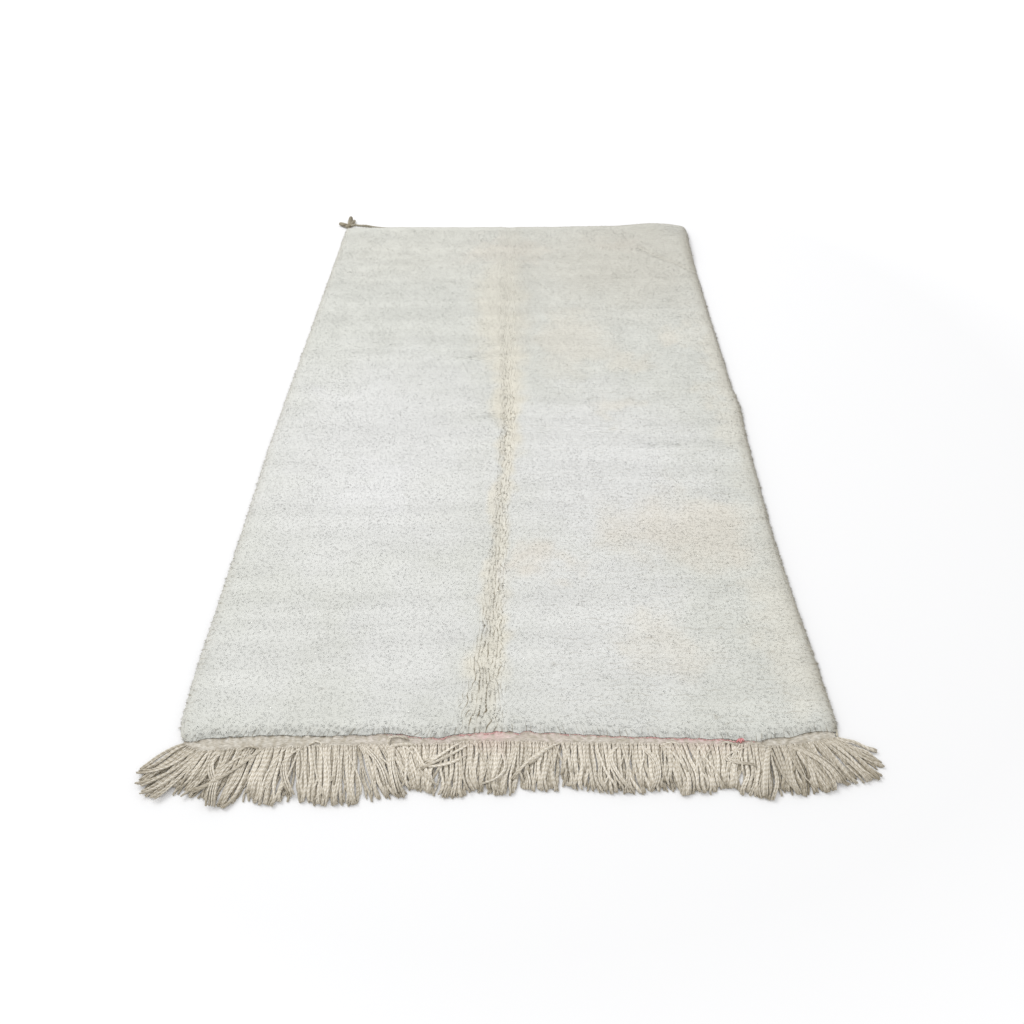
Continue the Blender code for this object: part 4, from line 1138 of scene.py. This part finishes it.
def sweep_yarns(name, routes, radii, tones, ends, stains, sides=YARN_SIDES):
    """Tubes along routes (yarn, station, 3), with the twist map and the yarn's colours."""
    count, stations, _ = routes.shape
    along, across, above = line_frame(routes)
    ring = off_line(across[:, :, None], above[:, :, None], TURN * np.arange(sides) / sides)
    points = routes[:, :, None, :] + ring * radii[:, :, None, None]
    caps = np.stack([routes[:, 0] - along[:, 0] * radii[:, 0, None] * 0.3,
                     routes[:, -1] + along[:, -1] * radii[:, -1, None] * 0.6], 1)
    size = stations * sides + 2
    packed = np.concatenate([points.reshape(count, -1, 3), caps], 1).reshape(-1, 3)
    side = np.arange(sides)
    after = (side + 1) % sides
    level = sides * np.arange(stations - 1)[:, None]
    corners = (level + side, level + after, level + sides + after, level + sides + side)
    quads = np.stack(corners, -1).reshape(-1, 4)
    last = sides * (stations - 1)
    start_cap = np.stack([after, side, np.full(sides, size - 2)], -1)
    end_cap = np.stack([last + side, last + after, np.full(sides, size - 1)], -1)
    base = size * np.arange(count)[:, None, None]
    mesh = new_mesh(name, packed, base + quads, base + np.concatenate([start_cap, end_cap]))
    steps = np.linalg.norm(np.diff(routes, axis=1), axis=2)
    length = np.concatenate([np.zeros((count, 1)), np.cumsum(steps, 1)], 1)
    round_share = np.stack([side, side + 1, side + 1, side], -1) / sides
    low = length[:, :-1, None] * np.ones((1, 1, sides))
    high = length[:, 1:, None] * np.ones((1, 1, sides))
    quad_uv = np.stack([np.broadcast_to(round_share, (count, stations - 1, sides, 4)),
                        np.stack([low, low, high, high], -1)], -1)
    cap_uv = np.zeros(count * 2 * sides * 3 * 2)
    layer = mesh.uv_layers.new(name="twist")
    layer.data.foreach_set("uv", np.concatenate([quad_uv.ravel(), cap_uv]).astype(np.float32))
    tones = np.broadcast_to(np.reshape(tones, (count, -1)), (count, stations))
    channels = [np.concatenate([np.repeat(values, sides, axis=1), values[:, :1], values[:, -1:]], 1)
                for values in (tones, ends, stains)]
    add_colours(mesh, "yarn", *channels)
    add_flat_uv(mesh)
    return mesh


def pink_wash(x):
    """How pink the band is along its length."""
    wash = sum(strength * bell(x - middle, width) for middle, width, strength in PINK_PLACES)
    return np.clip(wash, 0.0, 1.0)


def bend(root, first, second, tip, share):
    """Points along a smooth bend through two controls, at shares of its length, for one yarn or many."""
    share = share[..., None]
    root, first, second, tip = (point[..., None, :] for point in (root, first, second, tip))
    return ((1 - share) ** 3 * root + 3 * (1 - share) ** 2 * share * first
            + 3 * (1 - share) * share ** 2 * second + share ** 3 * tip)


def tip_line(x):
    """Plan position of the tip of a yarn rooted at x, from the locks, smoothed between neighbours."""
    locks = np.array(FRINGE_LOCKS)
    roots = locks[:, :2].ravel()
    return tuple(np.mean([np.interp(x + blend, roots, locks[:, columns].ravel()) for blend in TIP_BLEND], 0)
                 for columns in ((2, 4), (3, 5)))


def lay_yarns(rows, rng):
    """Routes of yarns on the floor. Each row: root x, tip x and y, two bows as shares of the length, height
    where it rests, share of its length that it keeps, sway's phase and rate, and within its bundle the angle,
    the turns and the distance from the middle."""
    (root_x, tip_x, tip_y, bow_a, bow_b, rest, kept, phase, rate, angle, turns, girth) = np.array(rows).T
    count = len(root_x)
    root_y = band_front(root_x) + rng.uniform(*ROOT_OVERLAP, count)
    root = np.stack([root_x, root_y, ROOT_RISE * rest + ROOT_CLEARANCE], -1)
    tip = np.stack([tip_x, tip_y, np.maximum(rest - TIP_DROP, YARN_RADIUS)], -1)
    run = (tip - root) * (1.0, 1.0, 0.0)
    length = np.hypot(run[:, 0], run[:, 1])
    side = np.stack([-run[:, 1], run[:, 0], np.zeros(count)], -1)
    away = root_x - HOLE_X
    bow_b = bow_b + HOLE_BOW * np.sign(away) * bell(away, HOLE_REACH)
    first = root + BEND_PLACES[0] * run + bow_a[:, None] * side
    second = root + BEND_PLACES[1] * run + bow_b[:, None] * side
    first[:, 2] = rest + ROOT_CLEARANCE
    second[:, 2] = rest
    stations = np.linspace(0.0, 1.0, YARN_STATIONS)
    share = stations * kept[:, None]
    routes = bend(root, first, second, tip, share)
    turned = angle[:, None] + TURN * turns[:, None] * share
    spread = girth[:, None] * np.interp(stations, *SPREAD_PROFILE)
    swayed = SWAY * share * np.sin(rate[:, None] * share + phase[:, None])
    routes += (side / length[:, None])[:, None, :] * (spread * np.cos(turned) + swayed)[:, :, None]
    routes[:, :, 2] += FLATTENED * spread * np.sin(turned)
    return routes


def under_yarns(rng):
    """Lower layer of single yarns, painted darker as shade between the bundles."""
    x = np.arange(-0.7410, 0.7460, UNDER_STEP)
    x = x + rng.uniform(-UNDER_SCATTER, UNDER_SCATTER, len(x))
    count = len(x)
    tip_x, tip_y = tip_line(x)
    tip_y = tip_y + np.abs(rng.normal(0.010, 0.007, count))
    tip_x = tip_x + rng.normal(0.0, 0.006, count)
    bows = rng.normal(0.0, UNDER_BOW, (2, count))
    none = np.zeros(count)
    rows = np.stack([x, tip_x, tip_y, *bows, none + UNDER_HEIGHT, none + 1.0,
                     rng.uniform(*ANY_PHASE, count), rng.uniform(*SWAY_RATE, count), none, none, none], -1)
    return lay_yarns(rows, rng), rng.uniform(*UNDER_PAINTED_SHADE_TONE, count)


def bundle_yarns(rng):
    """Bundles of loosely spun yarns, lock by lock."""
    rows = []
    tones = []
    for first, last, tip_first, y_first, tip_last, y_last, bow in FRINGE_LOCKS:
        span = max(last - first, math.hypot(tip_last - tip_first, y_last - y_first))
        bundles = max(2, round(span / BUNDLE_STEP))
        lock_bows = np.array((-0.2 * bow, bow)) + rng.normal(0.0, LOCK_BOW, 2)
        for bundle in range(bundles):
            place = (bundle + 0.5) / bundles
            share = np.clip(place + rng.normal(0.0, BUNDLE_SCATTER / bundles), 0.0, 1.0)
            root_x = mix(first, last, place) + rng.normal(0.0, 0.0008)
            tip_x = mix(tip_first, tip_last, share)
            tip_y = mix(y_first, y_last, share) + abs(rng.normal(0.0, 0.005))
            bows = lock_bows + rng.normal(0.0, BUNDLE_BOW, 2)
            rest = rng.uniform(*BUNDLE_HEIGHT)
            sway = rng.uniform(*ANY_PHASE), rng.uniform(*SWAY_RATE)
            angle = rng.uniform(*ANY_PHASE)
            turns = rng.uniform(*BUNDLE_TURNS) * rng.choice((-1.0, 1.0))
            tone = rng.uniform(*BUNDLE_TONE)
            yarns = YARNS_IN_BUNDLE + rng.integers(-1, 2)
            for yarn in range(yarns):
                whole = rng.random() < WHOLE_YARNS
                kept = 1.0 - (abs(rng.normal(0.0, 0.014)) if whole else rng.uniform(*BROKEN_OFF))
                own_angle = angle + TURN * yarn / yarns + rng.normal(0.0, 0.3)
                rows.append((root_x, tip_x + rng.normal(0.0, 0.0010), tip_y, *bows, rest, kept, *sway,
                             own_angle, turns, BUNDLE_GIRTH * rng.uniform(0.8, 1.25)))
                tones.append(tone + rng.normal(0.0, 0.10))
    return lay_yarns(rows, rng), np.array(tones)


def stray_yarns(rng):
    """Single yarns that lie askew on top."""
    x = rng.uniform(-0.735, 0.735, STRAY_YARNS)
    tip_x, tip_y = tip_line(x)
    tip_x = tip_x + rng.uniform(*STRAY_REACH, STRAY_YARNS) * rng.choice((-1.0, 1.0), STRAY_YARNS)
    rows = []
    for root, end_x, end_y in zip(x, tip_x, tip_y):
        rows.append((root, end_x, end_y, *rng.normal(0.0, STRAY_BOW, 2), rng.uniform(*STRAY_HEIGHT),
                     rng.uniform(0.55, 1.0), rng.uniform(*ANY_PHASE), rng.uniform(*STRAY_RATE),
                     0.0, 0.0, 0.0))
    return lay_yarns(rows, rng), rng.uniform(0.5, 1.0, STRAY_YARNS)


def crossing_yarns(rows, height, rng):
    """Yarns laid through a root, a bend and a tip, on top of the others."""
    share = np.linspace(0.0, 1.0, YARN_STATIONS)
    routes = []
    for root_x, root_y, bend_x, bend_y, tip_x, tip_y, yarns in rows:
        for yarn in range(yarns):
            off = (yarn - 0.5 * (yarns - 1)) * CROSSING_SPREAD
            top = height + rng.uniform(-0.0008, 0.0012)
            root = np.array((root_x + 0.8 * off, root_y + 0.3 * off, ROOT_RISE * height + 0.0010))
            middle = np.array((bend_x + off, bend_y + 0.6 * off + rng.normal(0.0, 0.001), top))
            end_x = tip_x + 1.3 * off + rng.normal(0.0, 0.0010)
            tip = np.array((end_x, tip_y + rng.normal(0.0, 0.002), top - TIP_DROP))
            control = 2.0 * middle - 0.5 * (root + tip)
            routes.append(bend(root, mix(root, control, 0.667), mix(tip, control, 0.667), tip, share))
    return np.array(routes), rng.uniform(0.55, 1.0, len(routes))


def build_fringe(material):
    """The warp ends, yarn by yarn, in the locks in which they lie."""
    rng = np.random.default_rng(SEED + 1)
    layers = (under_yarns(rng), bundle_yarns(rng), stray_yarns(rng),
              crossing_yarns(CROSSING_LOCKS, CROSSING_HEIGHT, rng),
              crossing_yarns(LOOSE_ENDS, LOOSE_END_HEIGHT, rng))
    routes = np.concatenate([layer[0] for layer in layers])
    count = len(routes)
    share = np.linspace(0.0, 1.0, YARN_STATIONS)
    radii = YARN_RADIUS * rng.uniform(0.80, 1.20, (count, 1)) * np.interp(share, *GIRTH_PROFILE)
    routes[:, :, 2] = np.maximum(routes[:, :, 2], radii)
    tones = np.concatenate([layer[1] for layer in layers])[:, None]
    lower = (np.arange(count) < len(layers[0][0]))[:, None]
    x = routes[:, :, 0]
    tones = tones - LEFT_DARKER * ease((-DARKER_FROM - x) / DARKER_WIDTH)
    tones = tones - RIGHT_DARKER * ease((x - DARKER_FROM) / DARKER_WIDTH)
    # Painted shade at the yarns' roots by the band, deepest for the lower layer.
    tones = tones * np.interp(share, *ROOT_SHADE)
    tones = np.where(lower, tones * ease(0.2 + share / 0.4), tones)
    ends = ease((share - 0.70) / 0.30) * rng.uniform(0.3, 1.0, (count, 1))
    stains = FRINGE_STAIN * pink_wash(x) * ease((0.35 - share) / 0.35)
    mesh = sweep_yarns("fringe_yarns", routes, radii, np.clip(tones, 0.0, 1.0), ends, stains)
    return add_piece(mesh, material, ["near_fringe"])


def build_band(material):
    """Flat-woven band with weft ribs, under the pile's overhang: its top and its three free edges."""
    ends = left_edge(BAND_AT) + WALL_INSET, right_edge(BAND_AT) - WALL_INSET
    x, along = np.meshgrid(np.linspace(*ends, BAND_COLUMNS), np.linspace(0.0, 1.0, BAND_ROWS))
    back = near_edge(x) + WALL_INSET - SEAT_DEPTH
    front = band_front(x) + 0.0008 * np.sin(39.0 * x) + 0.0006 * np.sin(113.0 * x)
    y = mix(back, front - 0.0010 * (0.5 + 0.5 * np.sin(x * BAND_BEATS)), along)
    ribs = BAND_RIB * np.sin(TURN * BAND_RIBS * along + 0.9 * np.sin(x * 61.0))
    beats = BAND_BEAT * np.sin(x * BAND_BEATS + 3.1 * np.floor(along * 5.0))
    height = with_noise(BAND_HEIGHT + ribs + beats, x, y, BAND_ROUGHNESS) * np.interp(along, *BAND_PROFILE)
    wash = pink_wash(x) * np.interp(along, *BAND_WASH)
    mottle = np.clip(with_noise(0.5, x, y, BAND_MOTTLE), 0.0, 1.0)
    # Painted shadow along the pile's edge and under its overhang, broken in places.
    gap = near_edge(x) - 0.0010 - y
    shade = np.maximum(0.95 * fade(np.abs(gap), 0.0032), np.where(gap < 0.0, 0.8, 0.0))
    shade = shade * np.clip(with_noise(0.64, x, 0.0 * x, BAND_BREAKS), 0.0, 1.0)
    stain = np.clip(0.70 * wash * (0.3 + 1.1 * mottle), 0.0, 1.0)
    edged = ((0, 1), (1, 1))
    x, y, mottle, shade, stain = (np.pad(part, edged, "edge") for part in (x, y, mottle, shade, stain))
    points = np.stack([x, y, np.pad(height, edged)], -1).reshape(-1, 3)
    mesh = new_mesh("kilim_band", points, grid_quads(x.shape)[:, [0, 3, 2, 1]])
    add_colours(mesh, "yarn", mottle, shade, stain)
    add_flat_uv(mesh)
    return add_piece(mesh, material)


def build_pink_yarn(material):
    """Two pink yarns twined along the back of the band, showing in places, and a knot of their loose ends."""
    rng = np.random.default_rng(SEED + 3)
    x = np.linspace(-0.30, 0.56, 400)
    shown = np.interp(x, *PINK_SHOWN) * np.clip(with_noise(0.12, x, 0.0 * x, PINK_BREAKS), 0.0, 1.0)
    routes = []
    for phase in (0.0, math.pi):
        angle = x * TURN / PINK_PITCH + phase
        routes.append(np.stack([x, near_edge(x) - 0.0006 - 0.0030 * shown + 0.0010 * np.cos(angle),
                                0.0040 + 0.0030 * shown + 0.0009 * np.sin(angle)], -1))
    routes = np.array(routes)
    blank = np.zeros(routes.shape[:2])
    twining = sweep_yarns("pink_twining", routes, blank + PINK_RADIUS, np.array((1.0, 0.8)), blank, blank)
    spot_x, spot_y = PINK_SPOT
    share = np.linspace(0.0, 1.0, 7)
    short = []
    for _ in range(PINK_ENDS):
        root = np.array((spot_x + rng.uniform(-0.005, 0.005), spot_y + 0.004, 0.0056))
        tip = np.array((spot_x + rng.uniform(-0.009, 0.009), spot_y - rng.uniform(0.004, 0.010), 0.0075))
        middle = 0.5 * (root + tip) + (rng.uniform(-0.004, 0.004), 0.0, rng.uniform(0.002, 0.005))
        short.append(bend(root, middle, middle, tip, share))
    short = np.array(short)
    blank = np.zeros(short.shape[:2])
    tones = np.linspace(0.0, 0.5, PINK_ENDS)
    knot = sweep_yarns("pink_knot", short, blank + PINK_END_RADIUS, tones, blank, blank)
    return [add_piece(mesh, material) for mesh in (twining, knot)]


# -------- cords and tassel

def twine(name, centre, radius, pitch, step, tone):
    """Two strands wound round a centre line, lumps and all."""
    length = np.concatenate([[0.0], np.cumsum(np.linalg.norm(np.diff(centre, axis=0), axis=1))])
    along = np.arange(0.0, length[-1], step)
    line = np.stack([np.interp(along, length, centre[:, axis]) for axis in range(3)], -1)
    girth = np.interp(along, length, radius)
    _, across, above = line_frame(line)
    turn = TURN * np.cumsum(step / (pitch * girth / girth.min()))
    routes = np.array([line + off_line(across, above, turn + start) * (CORD_OFFSET * girth)[:, None]
                       for start in (0.0, math.pi)])
    radii = np.tile(CORD_GIRTH * girth, (2, 1))
    radii[:, :2] *= CORD_END
    radii[:, -2:] *= CORD_END
    tones = tone + 0.12 * np.cos(np.arange(2) * 2.1)
    blank = np.zeros(routes.shape[:2])
    return sweep_yarns(name, routes, radii, tones, blank, blank, sides=6)


def build_selvedge(name, node, edge, inward, material):
    y = np.linspace(-1.236, far_edge(0.0) - WALL_INSET - SELVEDGE_RADIUS, 160)
    x = edge(y) + inward * (WALL_INSET - SELVEDGE_RADIUS - SEAT_DEPTH)
    centre = np.stack([x, y, SELVEDGE_RADIUS + floor_lift(x, y)], -1)
    mesh = twine(name, centre, np.full(len(y), SELVEDGE_RADIUS), *SELVEDGE_TWIST)
    return add_piece(mesh, material, [node])


def build_far_cord(material):
    """Twined cord of the far edge, thick and lumpy near the tassel."""
    x = np.linspace(FAR_CORD_LUMPS[0, 0], FAR_CORD_LUMPS[-1, 0], 260)
    radius = FAR_CORD_RADIUS * look_up(FAR_CORD_LUMPS, x, 1)
    y = far_edge(x) - WALL_INSET + SEAT_DEPTH + radius + look_up(FAR_CORD_LUMPS, x, 2)
    climb = FAR_CORD_CLIMB * ease((-0.46 - x) / 0.13) * ease((x + 0.735) / 0.03)
    centre = np.stack([x, y - 0.6 * climb, radius + floor_lift(x, y) + climb], -1)
    mesh = twine("far_cord_twining", centre, radius, *FAR_CORD_TWIST)
    return add_piece(mesh, material, ["far_end_cord"])


def build_tassel(material):
    """Knot of wound yarns with three stubs of plied warp ends."""
    rng = np.random.default_rng(SEED + 2)
    share = np.linspace(0.0, 1.0, TASSEL_STATIONS)
    parts = np.stack([(1 - share) ** 2, 2 * share * (1 - share), share ** 2], -1)
    routes = []
    ends = []
    for girth, points, count in TASSEL_STUBS:
        centre = sum(parts[:, [corner]] * np.array(point) for corner, point in enumerate(points))
        along, across, above = line_frame(centre)
        reach = girth * STUB_REACH * np.interp(share, *STUB_PROFILE)
        for strand in range(count):
            offset = off_line(across, above, TURN * strand / count + STUB_TWIST * share)
            longer = along * (rng.uniform(-0.004, 0.003) * share)[:, None]
            routes.append(centre + offset * reach[:, None] + longer)
            ends.append(ease((share - 0.85) / 0.15) * 0.8)
    angle = np.linspace(0.0, 1.9 * math.pi, TASSEL_STATIONS)
    for _ in range(KNOT_TURNS):
        tilt = rng.uniform(-0.9, 0.9)
        swing = rng.uniform(0.0, math.pi)
        wide, deep, high = np.cos(angle), np.sin(angle) * math.cos(tilt), np.sin(angle) * math.sin(tilt)
        ring = np.stack([wide * math.cos(swing) - deep * math.sin(swing),
                         wide * math.sin(swing) + deep * math.cos(swing), high], -1)
        routes.append(TASSEL_KNOT + ring * (KNOT_RADIUS * KNOT_REACH))
        ends.append(np.full(TASSEL_STATIONS, 0.2))
    routes = np.array(routes)
    count = len(routes)
    radii = np.tile(TASSEL_YARN_RADIUS * np.interp(share, *TASSEL_YARN_PROFILE), (count, 1))
    routes[:, :, 2] = np.maximum(routes[:, :, 2], radii)
    tones = np.clip(rng.normal(0.5, 0.2, count), 0.0, 1.0)
    mesh = sweep_yarns("tassel_yarns", routes, radii, tones, np.array(ends), np.zeros(radii.shape))
    return add_piece(mesh, material, ["corner_tassel"])


# -------- studio

def build_studio():
    half = 0.5 * FLOOR_SIZE
    corners = [(-half, -half, 0.0), (half, -half, 0.0), (half, half, 0.0), (-half, half, 0.0)]
    floor = bpy.data.meshes.new("studio_floor")
    floor.from_pydata(corners, [], [(0, 1, 2, 3)])
    floor.materials.append(floor_paint())
    plane = bpy.data.objects.new("studio_floor", floor)
    bpy.context.scene.collection.objects.link(plane)
    world = bpy.data.worlds.new("studio_light")
    bpy.context.scene.world = world
    world.use_nodes = True
    background = world.node_tree.nodes["Background"]
    background.inputs["Color"].default_value = (1.0, 1.0, 1.0, 1.0)
    background.inputs["Strength"].default_value = SKY_STRENGTH
    lamp = bpy.data.lights.new("key_light", "AREA")
    lamp.size = KEY_LIGHT_SIZE
    lamp.energy = KEY_LIGHT_POWER
    holder = bpy.data.objects.new("key_light", lamp)
    holder.location = KEY_LIGHT_PLACE
    holder.rotation_mode = "QUATERNION"
    holder.rotation_quaternion = (-holder.location).to_track_quat("-Z", "Y")
    bpy.context.scene.collection.objects.link(holder)


def build_camera():
    turn, dip, roll = (math.radians(angle) for angle in CAMERA_ANGLES)
    ahead = Vector((-math.sin(turn) * math.cos(dip), math.cos(turn) * math.cos(dip), -math.sin(dip)))
    level = Vector((math.cos(turn), math.sin(turn), 0.0))
    upright = level.cross(ahead)
    right = level * math.cos(roll) + upright * math.sin(roll)
    up = upright * math.cos(roll) - level * math.sin(roll)
    data = bpy.data.cameras.new("camera")
    data.sensor_width = SENSOR_WIDTH
    data.lens = FOCAL_PIXELS / PICTURE_PIXELS * SENSOR_WIDTH
    data.clip_start = 0.05
    camera = bpy.data.objects.new("camera", data)
    turned = Matrix((right, up, -ahead)).transposed().to_4x4()
    camera.matrix_world = Matrix.Translation(Vector(CAMERA_PLACE)) @ turned
    bpy.context.scene.collection.objects.link(camera)
    bpy.context.scene.camera = camera
    bpy.context.scene.view_settings.view_transform = "Standard"


def main():
    pile_material = pile_wool()
    weave_material = woven_wool()
    warp_material = yarn_wool("warp_wool", *WARP_YARN)
    pink_material = yarn_wool("pink_wool", *PINK_YARN)
    cord_material = yarn_wool("cord_wool", *CORD_YARN)
    tassel_material = yarn_wool("tassel_wool_yarn", *TASSEL_YARN)
    foundation = build_foundation(weave_material)
    extras = build_pile(pile_material)
    extras.append(build_core(pile_material))
    extras.append(build_band(band_wool()))
    extras += build_pink_yarn(pink_material)
    extras.append(build_fringe(warp_material))
    extras.append(build_selvedge("selvedge_wrap_left", "selvedge_left", left_edge, 1.0, cord_material))
    extras.append(build_selvedge("selvedge_wrap_right", "selvedge_right", right_edge, -1.0, cord_material))
    extras.append(build_far_cord(cord_material))
    extras.append(build_tassel(tassel_material))
    build_studio()
    build_camera()


main()
